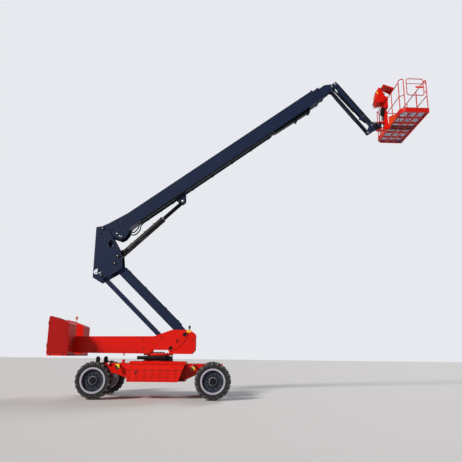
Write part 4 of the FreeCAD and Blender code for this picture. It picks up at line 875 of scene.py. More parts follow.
bm = bmesh.new()
for side in MIRROR_SIDES:
    add_lathe(bm, standing((FRONT_X, side * (PLATE_Y + 0.004), 0.925), (0, side, 0)),
              [(0.040, 0), (0.040, 0.012), (0.030, 0.030), (0.012, 0.038)], 24)
    add_block(bm, at(TAIL_X, side * 0.452, 0.948), (0.085, 0.05, 0.05), 0.010)
finish_mesh("lamp_bodies", bm, LAMP_RED, "chassis")
bm = bmesh.new()
for side in MIRROR_SIDES:
    add_block(bm, at(FRONT_X, side * (PLATE_Y + 0.010), 0.888), (0.072, 0.02, 0.022), 0.006)
    add_lathe(bm, standing((TAIL_X, side * 0.476, 0.948), (0, side, 0)),
              [(0.026, 0), (0.026, 0.008), (0.016, 0.014)], 20)
finish_mesh("lamp_lenses", bm, WHITE_LENS, "chassis")
print("lamps stand at x", FRONT_X, REAR_X, TAIL_X)

# %% [markdown]
# The slew ring is bolted down through the top plate by a full circle of bolts,
# and the axles and end plates have their own rows. Hydraulic lines leave the
# middle of the chassis for both axles.

# %% Chassis bolts and lines
SLEW_TOP_PLATE, SLEW_BOLT_CIRCLE, SLEW_BOLT_COUNT = 1.020, 0.462, 28
REAR_END, FRONT_END, DECK_TOP = -1.900, 1.930, 0.960
bm = bmesh.new()
for turn in turns(SLEW_BOLT_COUNT, 0.5):
    spot = around(Matrix(), turn, SLEW_BOLT_CIRCLE, SLEW_TOP_PLATE)
    add_bolt(bm, spot.translation, (0, 0, 1), 0.024)
for side in MIRROR_SIDES:
    for x in (-1.35, -1.15, 1.20, 1.40, 1.85):
        add_bolt(bm, (x, side * 0.33, DECK_TOP), (0, 0, 1), 0.022)
for x, way in ((REAR_END, -1), (FRONT_END, 1)):
    for y, z in ((-0.36, 0.90), (-0.12, 0.71), (-0.12, 0.90), (0.12, 0.71), (0.12, 0.90),
                 (0.36, 0.90)):
        add_bolt(bm, (x, y, z), (way, 0, 0), 0.022)
finish_mesh("chassis_bolts", bm, BLACK, "chassis")

bm = bmesh.new()
for side in MIRROR_SIDES:
    for k in range(3):
        y = side * (0.20 + 0.028 * k)
        add_tube(bm, [(-1.34, y, 0.90), (-1.20, y, 0.84), (-1.00, y, 0.80), (-0.775, y, 0.79)],
                 0.009, 8)
    add_tube(bm, [(1.34, side * 0.16, 0.70), (1.20, side * 0.18, 0.80), (1.02, side * 0.20, 0.84),
                  (0.845, side * 0.21, 0.83)], 0.011, 8)
    for x, z in ((0.855, 0.832), (1.0, 0.842)):
        add_block(bm, at(x, side * 0.205, z), (0.016, 0.06, 0.02), 0.003)
finish_mesh("chassis_hoses", bm, HOSE, "chassis")
print("chassis has", SLEW_BOLT_COUNT, "slew ring bolts and eight hoses")

# %% [markdown]
# ## Turntable and tail
# The tail pods are moulded hoods with a seam and two latches each, a grille in
# the sloping roof and another in the front. The CAD has their shapes, so we
# only draw what breaks up the plain faces: seams as thin dark strips, grilles
# as rows of slats. The roof's slats lean as it does, and the left pod has only
# two of them.

# %% Tail pods
POD_LOW, POD_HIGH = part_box("tail_pod_left")
TAIL_REAR, TAIL_FRONT = POD_LOW.x, POD_HIGH.x
ROOF_REAR, ROOF_FRONT = 2.255, 2.056
ROOF_LEAN = math.atan2(ROOF_REAR - ROOF_FRONT, TAIL_FRONT - TAIL_REAR)
POD_MIDDLE, DOOR_SKIN, BALLAST_SKIN, BALLAST_BOLTS = 0.80, 1.2205, 1.2195, 1.178


def on_roof(x, side):
    """A place on the middle of a pod's sloping roof, leaning with it."""
    height = ROOF_REAR + (ROOF_FRONT - ROOF_REAR) * (x - TAIL_REAR) / (TAIL_FRONT - TAIL_REAR)
    return at(x, side * POD_MIDDLE, height + 0.001) @ Matrix.Rotation(ROOF_LEAN, 4, "Y")


for side, door in ((1, "door_left"), (-1, "door_right")):
    bm = bmesh.new()
    add_block(bm, at(-2.660, side * DOOR_SKIN, 1.235), (0.56, 0.003, 0.006), 0.001)
    add_block(bm, at(TAIL_REAR + 0.075, side * DOOR_SKIN, 1.72), (0.005, 0.003, 0.96), 0.001)
    for z in (1.52, 1.80):
        add_lathe(bm, standing((-2.462, side * 1.219, z), (0, side, 0)),
                  [(0.018, 0), (0.018, 0.006), (0.012, 0.009)], 18)
    finish_mesh("seams_" + door, bm, RED_DARK, door)

bm = bmesh.new()
for side, slats in ((-1, 5), (1, 2)):
    for row in range(slats):
        add_block(bm, on_roof(TAIL_REAR + 0.16 + 0.045 * row, side), (0.022, 0.44, 0.010), 0.003)
    for k in range(6):
        slat = at(TAIL_FRONT + 0.001, side * POD_MIDDLE, 1.40 + 0.05 * k)
        add_block(bm, slat @ Matrix.Rotation(0.5, 4, "Y"), (0.008, 0.46, 0.022), 0.002)
finish_mesh("pod_grilles", bm, BLACK, "turntable")

bm = bmesh.new()
for side in MIRROR_SIDES:
    for x in (TAIL_REAR + 0.06, TAIL_FRONT - 0.06):
        for step in (-0.28, 0.28):
            add_lathe(bm, on_roof(x, side) @ at(0, step, 0),
                      [(0.012, 0), (0.012, 0.004), (0.006, 0.006)], 14)
finish_mesh("pod_screws", bm, ZINC, "turntable")

bm = bmesh.new()
for y in (-1.0, -0.70, -0.38, 0.38, 0.70, 1.0):
    add_bolt(bm, (TAIL_REAR + 0.0105, y, BALLAST_BOLTS), (-1, 0, 0), 0.019)
    add_bolt(bm, (TAIL_FRONT + 0.010, y, BALLAST_BOLTS), (1, 0, 0), 0.03)
for side in MIRROR_SIDES:
    for x in (-2.85, -2.50):
        add_bolt(bm, (x, side * BALLAST_SKIN, BALLAST_BOLTS), (0, side, 0), 0.03)
finish_mesh("counterweight_bolts", bm, BLACK, "turntable")
print("tail pods", round(TAIL_FRONT - TAIL_REAR, 2), "m long")

# %% [markdown]
# The riser's two pins end in the doubler on the beam's side, with a bored boss
# between them. The beam's rows of bolts hold the floor plate and the nose, and
# a bare yellow plate sits above them.

# %% Beam, pins and plates
BEAM_FACE, DOUBLER = 0.425, 0.443
bm = bmesh.new()
for side in MIRROR_SIDES:
    for place, radius, lean in ((RISER_FOOT, 0.050, 0.6), (LINK_FOOT, 0.044, -2.4)):
        add_pin_end(bm, (place.x, side * (DOUBLER + 0.012), place.z), (0, side, 0), radius, lean)
    middle = (RISER_FOOT + LINK_FOOT) / 2
    add_ring(bm, standing((middle.x, side * (DOUBLER - 0.002), middle.z), (0, side, 0)),
             [(0.042, 0), (0.055, 0), (0.055, 0.007), (0.042, 0.007)], 32)
finish_mesh("riser_foot_pins", bm, BLACK, "turntable")

bm = bmesh.new()
for side in MIRROR_SIDES:
    for k in range(9):
        add_bolt(bm, (-1.80 + 0.20 * k, side * (BEAM_FACE + 0.0005), 1.285), (0, side, 0), 0.020)
    for x, z in ((-0.42, 1.66), (-0.42, 1.40), (1.02, 1.42), (1.02, 1.66), (0.10, 1.70)):
        add_bolt(bm, (x, side * (BEAM_FACE + 0.0005), z), (0, side, 0), 0.022)
finish_mesh("beam_bolts", bm, BLACK, "turntable")

bm = bmesh.new()
for side in MIRROR_SIDES:
    add_block(bm, at(0.905, side * (BEAM_FACE + 0.002), 1.890), (0.135, 0.004, 0.062), 0.001)
finish_mesh("blank_yellow_plates", bm, YELLOW, "turntable")
print("beam is", round(BEAM_FACE * 2, 2), "m wide over its plates")

# %% [markdown]
# The travel alarm stands on the nose, and three valve banks lie in the beam
# under the riser. Their hoses stay low, because the riser folds down over them:
# the long ones lie on the floor plate, and each bank's own loops back to it.

# %% Alarm, valves and hoses
BANKS = (-1.70, -1.35, -1.00)
bm = bmesh.new()
add_block(bm, at(0.925, -0.360, 1.865), (0.05, 0.085, 0.10), 0.004)
add_lathe(bm, at(0.923, -0.362, 1.90), [(0.012, 0), (0.012, 0.07), (0.032, 0.075),
                                         (0.034, 0.12), (0.030, 0.155), (0.018, 0.165)], 20)
for x in BANKS:
    add_block(bm, at(x, 0.305, 1.305), (0.24, 0.13, 0.10), 0.012)
    for k in range(4):
        add_lathe(bm, at(x - 0.085 + 0.055 * k, 0.290, 1.355),
                  [(0.017, 0), (0.017, 0.05), (0.011, 0.055), (0.011, 0.085)], 14)
finish_mesh("alarm_and_valves", bm, BLACK_PLASTIC, "turntable")

bm = bmesh.new()
for k in range(5):
    y = -0.36 + 0.030 * k
    add_tube(bm, [(-1.90, y, 1.280), (-1.40, y, 1.275), (-0.90, y, 1.278),
                  (-0.50, y, 1.285), (-0.20, y - 0.02, 1.275), (0.20, y - 0.03, 1.280)], 0.013, 8)
for x in BANKS:
    add_tube(bm, [(x - 0.03, 0.290, 1.43), (x - 0.03, 0.285, 1.48), (x + 0.05, 0.300, 1.50),
                  (x + 0.12, 0.335, 1.42), (x + 0.13, 0.340, 1.27)], 0.011, 8)
finish_mesh("turntable_hoses", bm, HOSE, "turntable")

bm = bmesh.new()
for turn in turns(24):
    spot = around(Matrix(), turn, 0.405, 1.258)
    add_bolt(bm, spot.translation, (0, 0, 1), 0.022)
finish_mesh("slew_inner_bolts", bm, BLACK, "turntable")
print(len(BANKS), "valve banks in the beam")

# %% [markdown]
# ## Riser, knuckle and boom
# Every hinge pin ends in a round plate held by two bolts. Where the boom's foot
# meets the knuckle there are several pins close together, and round plugs close
# the holes that serve the fitters. Five hoses run along the riser's underside,
# held by four clamps.

# %% Riser and knuckle
CHEEK_FACE, RISER_HOSE_DROP = 0.300, -0.149
bm = bmesh.new()
for side in MIRROR_SIDES:
    for place, radius, lean in ((RISER_HEAD, 0.046, 2.2), (LINK_HEAD, 0.042, -1.2),
                                (BOOM_PIVOT, 0.052, 0.4), (CYLINDER_BASE, 0.046, -0.5)):
        add_pin_end(bm, (place.x, side * (CHEEK_FACE + 0.013), place.z), (0, side, 0), radius,
                    lean)
    for x, z, radius in ((-1.373, 4.112, 0.024), (-1.451, 3.899, 0.024), (-1.897, 4.814, 0.018)):
        add_lathe(bm, standing((x, side * CHEEK_FACE, z), (0, side, 0)),
                  [(radius, 0), (radius, 0.008), (radius * 0.6, 0.012)], 16)
    for x, z in ((-2.045, 4.35), (-2.045, 4.70), (-2.045, 4.05), (-1.98, 3.62), (-1.28, 4.02)):
        add_bolt(bm, (x, side * (CHEEK_FACE + 0.0005), z), (0, side, 0), 0.026)
finish_mesh("knuckle_pins", bm, BLACK, "knuckle")
bm = bmesh.new()
for side in MIRROR_SIDES:
    for place in (RISER_HEAD, BOOM_PIVOT, CYLINDER_BASE, LINK_HEAD):
        add_lathe(bm, standing((place.x, side * (CHEEK_FACE + 0.020), place.z), (0, side, 0)),
                  [(0.016, 0), (0.016, 0.016), (0.010, 0.020)], 14)
finish_mesh("knuckle_grease_caps", bm, ZINC, "knuckle")

bm = bmesh.new()
for y in (-0.10, -0.05, 0.0, 0.05, 0.10):
    add_path(bm, [RISER(0.30, y, RISER_HOSE_DROP), RISER(RISER_LONG - 0.30, y, RISER_HOSE_DROP)],
             0.014, 10)
finish_mesh("riser_hoses", bm, HOSE, "riser_upper")
bm = bmesh.new()
for s in (0.45, 1.00, 1.90, 2.60):
    add_block(bm, RISER.block(s, 0, -0.152), (0.04, 0.27, 0.036), 0.004)
    for side in MIRROR_SIDES:
        add_bolt(bm, RISER(s, side * 0.125, -0.170), -RISER.up, 0.016)
finish_mesh("riser_hose_clamps", bm, BLACK_PLASTIC, "riser_upper")
print("riser is", round(RISER_LONG, 2), "m between pins")

# %% [markdown]
# The boom's foot is a stack of plates: a lug on each side, drilled for bolts,
# and three dark bushes with bright ends. The cylinder's head pin goes through a
# bracket that hangs under the base section.

# %% Boom foot
LUG_FACE = 0.240
HEAD_PIN_ALONG, HEAD_PIN_BELOW = 2.569, -0.6535   # the boom cylinder's head pin
BUSHES = ((-1.429, 4.869), (-1.344, 4.794), (-1.293, 4.779))
bm = bmesh.new()
for side in MIRROR_SIDES:
    for x, z in ((-1.481, 5.233), (-1.399, 5.128), (-1.288, 5.137), (-1.186, 5.003),
                 (-1.585, 5.020), (-1.300, 5.255), (-1.160, 5.310)):
        add_bolt(bm, (x, side * (LUG_FACE + 0.0005), z), (0, side, 0), 0.034)
    for x, z in BUSHES:
        add_lathe(bm, standing((x, side * LUG_FACE, z), (0, side, 0)),
                  [(0.034, 0), (0.034, 0.010), (0.030, 0.014)], 20)
    for s, n in ((2.52, -0.50), (2.66, -0.50), (2.47, -0.58), (2.66, -0.58)):
        add_bolt(bm, BOOM(s, side * 0.1025, n), (0, side, 0), 0.024)
finish_mesh("boom_foot_bolts", bm, BLACK, "boom_base")
bm = bmesh.new()
for side in MIRROR_SIDES:
    for x, z in BUSHES:
        add_lathe(bm, standing((x, side * (LUG_FACE + 0.013), z), (0, side, 0)),
                  [(0.020, 0), (0.020, 0.006), (0.014, 0.010)], 16)
    add_lathe(bm, standing(BOOM(HEAD_PIN_ALONG, side * 0.112, HEAD_PIN_BELOW), (0, side, 0)),
              [(0.036, 0), (0.036, 0.006), (0.030, 0.010)], 24)
finish_mesh("boom_foot_pins", bm, ZINC, "boom_base")
print("boom foot has", len(BUSHES), "bushes on each side")

# %% [markdown]
# Four hoses loop out of the knuckle and run along the underside of the base
# section in clamps. Bolts hold the wear pads at each section's mouth and the
# brackets under the base.

# %% Boom hoses, clamps and bolts
BOOM_HOSE_DROP = -0.448
CLAMPS = (1.35, 1.85, 2.30, 3.10, 3.90, 4.70, 5.50, 6.25)
bm = bmesh.new()
for y in (-0.178, -0.138, 0.138, 0.178):
    add_tube(bm, [BOOM(0.62, y, -0.42), BOOM(0.60, y, -0.52), BOOM(0.72, y, -0.62),
                  BOOM(0.92, y, -0.58), BOOM(1.05, y, -0.47), BOOM(1.20, y, BOOM_HOSE_DROP)],
             0.015, 10)
    add_path(bm, [BOOM(1.20, y, BOOM_HOSE_DROP), BOOM(6.36, y, BOOM_HOSE_DROP)], 0.015, 10)
finish_mesh("boom_hoses", bm, HOSE, "boom_base")
bm = bmesh.new()
for s in CLAMPS:
    for side in MIRROR_SIDES:
        add_block(bm, BOOM.block(s, side * 0.158, -0.451), (0.05, 0.086, 0.042), 0.005)
        add_bolt(bm, BOOM(s, side * 0.158, -0.472), -BOOM.up, 0.018)
for side in MIRROR_SIDES:
    for n in (-0.06, -0.15, -0.28, -0.37):
        add_bolt(bm, BOOM(8.37, side * 0.222, n), (0, side, 0), 0.026)
        add_bolt(bm, BOOM(8.26, side * 0.2105, n), (0, side, 0), 0.022)
for y in (-0.14, -0.05, 0.05, 0.14):
    add_bolt(bm, BOOM(8.37, y, 0.012), BOOM.up, 0.026)
    for s in (8.26, 0.30):
        add_bolt(bm, BOOM(s, y, 0.0005), BOOM.up, 0.022)
for s in (7.33, 7.88):
    for side in MIRROR_SIDES:
        for n in (-0.495, -0.545):
            add_bolt(bm, BOOM(s, side * 0.130, n), (0, side, 0), 0.022)
finish_mesh("boom_clamps", bm, BLACK, "boom_base")
bm = bmesh.new()
for side in MIRROR_SIDES:
    for n in (-0.09, -0.20, -0.32):
        add_bolt(bm, BOOM(8.615, side * 0.194, n), (0, side, 0), 0.022)
        add_bolt(bm, BOOM(8.53, side * 0.1805, n), (0, side, 0), 0.020)
for y in (-0.10, 0.0, 0.10):
    add_bolt(bm, BOOM(8.615, y, -0.016), BOOM.up, 0.022)
finish_mesh("middle_section_bolts", bm, BLACK, "boom_mid")
print("boom hoses lie in", len(CLAMPS), "pairs of clamps")

# %% [markdown]
# The boom cylinder feeds its rod side through steel pipes that run along the top
# of the barrel, held by straps, and a holding valve is bolted to its foot. The
# pipes and the ring at the barrel's mouth are painted near white, as painted
# reflection of the bright sky. The barrel turns about its base pin, so it has its
# own ruler.

# %% Boom cylinder
BARREL_LEAN = lean_of(CYLINDER_BASE, BOOM(HEAD_PIN_ALONG, 0, HEAD_PIN_BELOW))
BARREL = Ruler(CYLINDER_BASE, BARREL_LEAN)
BARREL_LONG = 1.842
bm = bmesh.new()
for y, n, end in ((0.050, 0.094, 1.79), (-0.060, 0.087, 1.66)):
    add_path(bm, [BARREL(0.22, y, n), BARREL(end, y, n)], 0.012)
add_ring(bm, standing(BARREL(BARREL_LONG - 0.002, 0, 0), BARREL.along),
         [(0.066, 0), (0.092, 0), (0.092, 0.010), (0.066, 0.010)], 40)
finish_mesh("boom_cylinder_pipes", bm, PIPE_PAINTED_REFLECTION, "boom_barrel")
bm = bmesh.new()
for s in (0.55, 1.10, 1.50):
    add_ring(bm, standing(BARREL(s, 0, 0), BARREL.along),
             [(0.0952, 0), (0.0995, 0), (0.0995, 0.03), (0.0952, 0.03)], 40)
    add_block(bm, BARREL.block(s + 0.015, -0.004, 0.096), (0.03, 0.15, 0.022), 0.004)
add_block(bm, BARREL.block(0.28, -0.115, -0.020), (0.20, 0.055, 0.115), 0.008)
add_block(bm, BARREL.block(0.20, 0.0, 0.093), (0.09, 0.16, 0.036), 0.006)
add_block(bm, BARREL.block(0.95, -0.070, -0.060), (0.30, 0.060, 0.050), 0.012)
for n in (-0.055, -0.015):
    add_tube(bm, [BARREL(0.37, -0.118, n), BARREL(0.50, -0.128, n - 0.012),
                  BARREL(0.70, -0.118, n - 0.020), BARREL(0.82, -0.095, -0.060)], 0.014)
for s in (0.215, 0.265, 0.315):
    add_fitting(bm, BARREL(s, -0.142, 0.0), Vector((0, -1, 0)), 0.022)
finish_mesh("boom_cylinder_valve", bm, BLACK, "boom_barrel")
print("boom cylinder leans", round(BARREL_LEAN, 1), "degrees")

# %% [markdown]
# ## Jib
# The jib is narrow, so its lines run outside it: two hoses in clips along each
# side of the arm. Below them hang thin skirts, plates that narrow towards both
# ends and make the slim CAD arm as deep as the real one looks. Near the head a
# black plate on each side is painted shade, for the dark recess of the arm there.

# %% Jib arm
HOSE_LINE, ARM_SKIN = 0.071, 0.0625
SKIRT = [(0.16, -0.030), (1.78, -0.030), (1.70, -0.070), (1.60, -0.098), (0.34, -0.098),
         (0.24, -0.060)]
# painted shade: a black plate where the arm's recess lies in shade
ARM_SHADE_PATCH = [(1.30, -0.030), (1.70, -0.030), (1.70, 0.020), (1.30, 0.020)]
bm = bmesh.new()
for side in MIRROR_SIDES:
    for n in (0.068, 0.044):
        add_path(bm, [JIB(0.13, side * HOSE_LINE, n), JIB(JIB_LONG - 0.17, side * HOSE_LINE, n)],
                 0.009, 8)
finish_mesh("jib_hoses", bm, HOSE, "jib_arm")
bm = bmesh.new()
for s in (0.22, 0.60, 1.00, 1.40, 1.72):
    for side in MIRROR_SIDES:
        add_block(bm, JIB.block(s, side * HOSE_LINE, 0.056), (0.03, 0.020, 0.062), 0.003)
        add_bolt(bm, JIB(s, side * (HOSE_LINE + 0.010), 0.056), (0, side, 0), 0.012)
# the black patches are painted shade
for side in MIRROR_SIDES:
    add_plate(bm, JIB, ARM_SHADE_PATCH, side * ARM_SKIN, side * 0.006, 0.001)
finish_mesh("jib_clips_and_shade_patches", bm, BLACK_PLASTIC, "jib_arm")
bm = bmesh.new()
for side in MIRROR_SIDES:
    add_plate(bm, JIB, SKIRT, side * 0.056, side * 0.006, 0.001)
finish_mesh("jib_arm_skirts", bm, NAVY, "jib_arm")
bm = bmesh.new()
for side in MIRROR_SIDES:
    add_lathe(bm, standing(JIB(1.5, side * (ARM_SKIN + 0.006), 0.008), (0, side, 0)),
              [(0.014, 0), (0.014, 0.004), (0.008, 0.007)], 14)
finish_mesh("jib_arm_studs", bm, ZINC, "jib_arm")
print("jib arm", round(JIB_LONG, 2), "m long")

# %% [markdown]
# The jib turns on two pins at its foot and two at its head, and the fork that
# levels it has a larger one. The foot pins are only thin bright caps, because
# the fork's cheeks pass close outside them as the jib moves.

# %% Jib pins
BRACKET_FACE, FORK_FACE = 0.088, 0.1375
bm = bmesh.new()
for side in MIRROR_SIDES:
    for place, radius in ((JIB_FOOT, 0.032), (JIB_LINK_FOOT, 0.027)):
        add_lathe(bm, standing((place.x, side * (BRACKET_FACE - 0.001), place.z), (0, side, 0)),
                  [(radius, 0), (radius, 0.003), (radius - 0.003, 0.0055)], 28)
finish_mesh("jib_foot_pins", bm, ZINC, "jib_bracket")
bm = bmesh.new()
for side in MIRROR_SIDES:
    add_pin_end(bm, (FORK.x, side * FORK_FACE, FORK.z), (0, side, 0), 0.036)
finish_mesh("fork_pin_ends", bm, ZINC, "jib_bracket")
bm = bmesh.new()
for side in MIRROR_SIDES:
    for place, radius, lean in ((JIB_HEAD, 0.030, 0.8), (JIB_LINK_HEAD, 0.027, -2.2)):
        add_pin_end(bm, (place.x, side * (BRACKET_FACE + 0.0005), place.z), (0, side, 0), radius,
                    lean)
finish_mesh("jib_head_pins", bm, ZINC, "jib_head")
print("fork pin at x", round(FORK.x, 2), "and jib head at x", round(JIB_HEAD.x, 2))

# %% [markdown]
# The rotary actuator that swings the platform is crowded by a valve block with
# short looped hoses on each side. Its housing has twelve upright ribs, made by
# turning one rib round the actuator's axis.

# %% Rotary actuator
TURN_X, TURN_Z, VALVE_Y, RIB_COUNT = ROTATOR.x, JIB_HEAD.z, 0.122, 12
HOSE_LOOP = ((0, 0.122, 0.058), (-0.02, 0.126, 0.088), (-0.08, 0.122, 0.092),
             (-0.14, 0.108, 0.060), (-0.145, 0.097, 0.01))
bm = bmesh.new()
for side in MIRROR_SIDES:
    add_block(bm, at(TURN_X - 0.125, side * 0.120, TURN_Z - 0.045), (0.11, 0.060, 0.13), 0.008)
    for k in range(3):
        x = TURN_X - 0.160 + 0.035 * k
        add_fitting(bm, (x, side * VALVE_Y, TURN_Z + 0.018), (0, 0, 1), 0.022)
        add_tube(bm, [(x + back, side * y, TURN_Z + up) for back, y, up in HOSE_LOOP], 0.009, 8)
for turn in turns(RIB_COUNT):
    axis = at(TURN_X, 0, TURN_Z - 0.010) @ Matrix.Rotation(turn, 4, "Z")
    add_block(bm, axis @ at(0.0935, 0, 0), (0.006, 0.012, 0.18), 0.002)
finish_mesh("rotator_valve_block", bm, BLACK, "jib_head")
print("rotary actuator at x", round(TURN_X, 2))

# %% [markdown]
# The red post between the rotator and the platform carries a valve block with
# four short hoses between a pair of bent guards. The toe board behind it gets
# two orange panels that rise towards the post.

# %% Platform post
GUARD = [(-0.165, -0.055), (0.02, -0.055), (0.05, 0.02), (-0.02, 0.10), (-0.03, 0.56),
         (-0.10, 0.62), (-0.13, 0.52), (-0.14, 0.06)]
TOE_PANEL = [(0.11, 0.004), (0.74, 0.004), (0.74, 0.152), (0.30, 0.30), (0.11, 0.38)]
bm = bmesh.new()
add_block(bm, at(*CAB(-0.165, 0.0, 0.600)), (0.10, 0.22, 0.22), 0.010)
for y in (-0.075, -0.025, 0.025, 0.075):
    add_fitting(bm, CAB(-0.165, y, 0.492), (0, 0, -1), 0.026)
    add_tube(bm, [CAB(-0.165, y, 0.45), CAB(-0.19, y * 1.1, 0.40), CAB(-0.16, y * 1.15, 0.34),
                  CAB(-0.138, y * 1.1, 0.30)], 0.010, 8)
finish_mesh("platform_valve", bm, BLACK, "platform")
bm = bmesh.new()
for side in MIRROR_SIDES:
    low, high = sorted((side * 0.082, side * 0.094))
    add_plate(bm, CAB, GUARD, low, high - low, 0.002)
    for z in (0.12, 0.30, 0.48):
        add_bolt(bm, CAB(-0.085, side * 0.0945, z), (0, side, 0), 0.020)
finish_mesh("platform_post_guards", bm, RED, "platform")
bm = bmesh.new()
for side in MIRROR_SIDES:
    add_prism(bm, [CAB(-0.007, side * y, z) for y, z in TOE_PANEL], Vector((0.006, 0, 0)), 0.001)
finish_mesh("toe_board_panels", bm, ORANGE, "platform")
print("platform post ready")

# %% [markdown]
# ## Platform
# The floor is an open frame: toe boards round the edge, bearers across, and
# expanded metal laid over them. The CAD floor has a closed deck, which would
# hide the light between the bearers, so this frame replaces it. Its two corners
# near the boom are cut off, and a wall stands inside each line of that outline.

# %% Platform floor
FLOOR_LOW, FLOOR_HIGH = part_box("platform_floor")
DEEP, HALF_LONG = FLOOR_HIGH.x - FLOOR_LOW.x, FLOOR_HIGH.y
CUT, TOE, DECK_LEVEL = 0.130, 0.150, 0.056


def floor_outline(inset):
    """Corner points of the floor, with the two corners near the boom cut off."""
    near, far, side = inset, DEEP - inset, HALF_LONG - inset
    return [(near + CUT, -side), (far, -side), (far, side), (near + CUT, side),
            (near, side - CUT), (near, -side + CUT)]


def add_walls(bm, outline, low, high, thick):
    """A wall on each side of the outline, its outer face on the line."""
    for a, b in zip(outline, outline[1:] + outline[:1]):
        start, end = CAB(*a, 0), CAB(*b, 0)
        run = end - start
        inward = Vector((-run.y, run.x, 0)).normalized()
        middle = (start + end) / 2 + inward * thick / 2 + Vector((0, 0, (low + high) / 2))
        place = Matrix.Translation(middle) @ Matrix.Rotation(math.atan2(run.y, run.x), 4, "Z")
        add_block(bm, place, (run.length, thick, high - low), 0.002)


bm = bmesh.new()
add_walls(bm, floor_outline(0), 0, TOE, 0.006)
add_walls(bm, floor_outline(0), TOE - 0.012, TOE, 0.014)
add_walls(bm, floor_outline(0.006), 0.001, 0.007, 0.046)
add_walls(bm, floor_outline(0.006), DECK_LEVEL - 0.012, DECK_LEVEL - 0.006, 0.046)
for y, wide in ((-0.62, 0.05), (-0.30, 0.07), (0.30, 0.07), (0.62, 0.05)):
    add_block(bm, at(*CAB(DEEP / 2, y * HALF_LONG, 0.027)), (DEEP - 0.02, wide, 0.042), 0.003)
for x in (0.36, 0.63):
    add_block(bm, at(*CAB(DEEP * x, 0, 0.022)), (0.045, HALF_LONG * 2 - 0.03, 0.030), 0.003)
floor_frame = finish_mesh("platform_floor_frame", bm, RED_PLATFORM, "platform")
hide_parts("platform_floor")

bm = bmesh.new()
for side in MIRROR_SIDES:
    add_block(bm, at(*CAB(DEEP / 2 - 0.01, side * 0.075, 0.024)), (DEEP - 0.06, 0.10, 0.044),
              0.004)
finish_mesh("platform_centre_beams", bm, RED_DARK, "platform")
print("platform floor", round(DEEP, 2), "by", round(HALF_LONG * 2, 2), "m")

# %% [markdown]
# Expanded metal is one sheet, slit and pulled until each slit opens into a
# diamond, so we build it as zig-zag strands whose neighbours meet at the
# points. A texture with holes would be lighter, but it would have no thickness
# when the deck is seen from below, as it is here.

# %% Expanded metal deck
STRAND_STEP, STRAND_PITCH, SWING, LIFT = 0.015, 0.031, 0.0055, 0.0015
STRAND_WIDE, STRAND_THICK = 0.011, 0.003


def add_strand(bm, x, phase, side):
    """One zig-zag strand of expanded metal, running across the machine."""
    rings = []
    for i in range(int(2 * side / STRAND_PITCH) + 1):
        way = 1 if (i + phase) % 2 else -1
        rings.append([CAB(x + SWING * way + dx, -side + STRAND_PITCH * i,
                          DECK_LEVEL + dz + LIFT * way) for dx, dz in
                      ((-STRAND_WIDE / 2, 0), (STRAND_WIDE / 2, 0),
                       (STRAND_WIDE / 2, STRAND_THICK), (-STRAND_WIDE / 2, STRAND_THICK))])
    add_rings(bm, rings)


bm = bmesh.new()
strands = int((DEEP - 0.03) / STRAND_STEP)
for row in range(strands):
    x = 0.018 + row * STRAND_STEP
    add_strand(bm, x, row % 2, HALF_LONG - 0.012 - max(0.0, CUT - x))
finish_mesh("expanded_metal_deck", bm, MESH_STEEL, "platform", smooth=20)
print("deck of", strands, "strands")

# %% [markdown]
# The rails are bent tube: a wide hoop along the far side and one across the
# closed end, a narrow hoop over each cut corner, and a lower bar between those
# two beside the console. Each hoop is one line of corners, rounded and then
# swept, as a tube bender makes it from one length.

# %% Rails
RAIL_R, RAIL_TOP, KNEE = 0.016, 1.184, 0.602
RAIL_INSET = 0.006 + RAIL_R + 0.001
SIDE_TOP = RAIL_TOP - 0.08
FOOT = DECK_LEVEL + 0.006
line = floor_outline(RAIL_INSET)
line[0] = (RAIL_INSET + CUT - 0.009, line[0][1])
line[3] = (line[0][0], line[3][1])
POSTS = [(line[1][0], HALF_LONG / 3), (line[1][0], -HALF_LONG / 3)]


def add_bent(bm, corners, tube, radius):
    """A tube along the corners, each rounded to the radius."""
    add_path(bm, bent([CAB(*c) for c in corners], radius), tube)


bm = bmesh.new()
for a, b, radius in ((line[1], line[2], 0.11), (line[2], line[3], 0.11),
                     (line[3], line[4], 0.075), (line[5], line[0], 0.075)):
    add_bent(bm, [(*a, FOOT), (*a, RAIL_TOP), (*b, RAIL_TOP), (*b, FOOT)], RAIL_R, radius)
add_path(bm, [CAB(*line[4], SIDE_TOP), CAB(*line[5], SIDE_TOP)], RAIL_R - 0.001)
for a, b in zip(line[1:], line[2:] + line[:1]):
    add_path(bm, [CAB(*a, KNEE), CAB(*b, KNEE)], RAIL_R - 0.002)
for x, high in ((line[1][0], RAIL_TOP), (line[4][0], SIDE_TOP)):
    for y in (HALF_LONG / 3, -HALF_LONG / 3):
        add_path(bm, [CAB(x, y, FOOT), CAB(x, y, high)], RAIL_R - 0.001)
for x, y in line + POSTS:
    add_block(bm, at(*CAB(x, y, FOOT + 0.004)), (0.042, 0.042, 0.008), 0.002)
rails = finish_mesh("bent_tube_rails", bm, RED_PLATFORM, "platform")
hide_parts("platform_rails")
print("rails", round(RAIL_TOP + RAIL_R, 2), "m high")

# %% [markdown]
# The gate is a hoop closed on itself, made of two halves that meet in the
# middle. It hangs from two hinges on the far post and has a bar across it, a
# leg down to the toe board and a bare plate.

# %% Gate
GATE_NEAR, GATE_SIDE = line[0][0] + 0.096, line[0][1]
HINGE = line[1][0] - RAIL_R - 0.001 - 0.011
GATE_FAR, GATE_R = HINGE - 0.062, RAIL_R - 0.002
GATE_MIDDLE = (GATE_NEAR + GATE_FAR) / 2
GATE_BAR = RAIL_TOP - (RAIL_TOP - KNEE) * 0.3


def on_gate(x, z):
    """A place in the gate's own plane."""
    return CAB(x, GATE_SIDE, z)


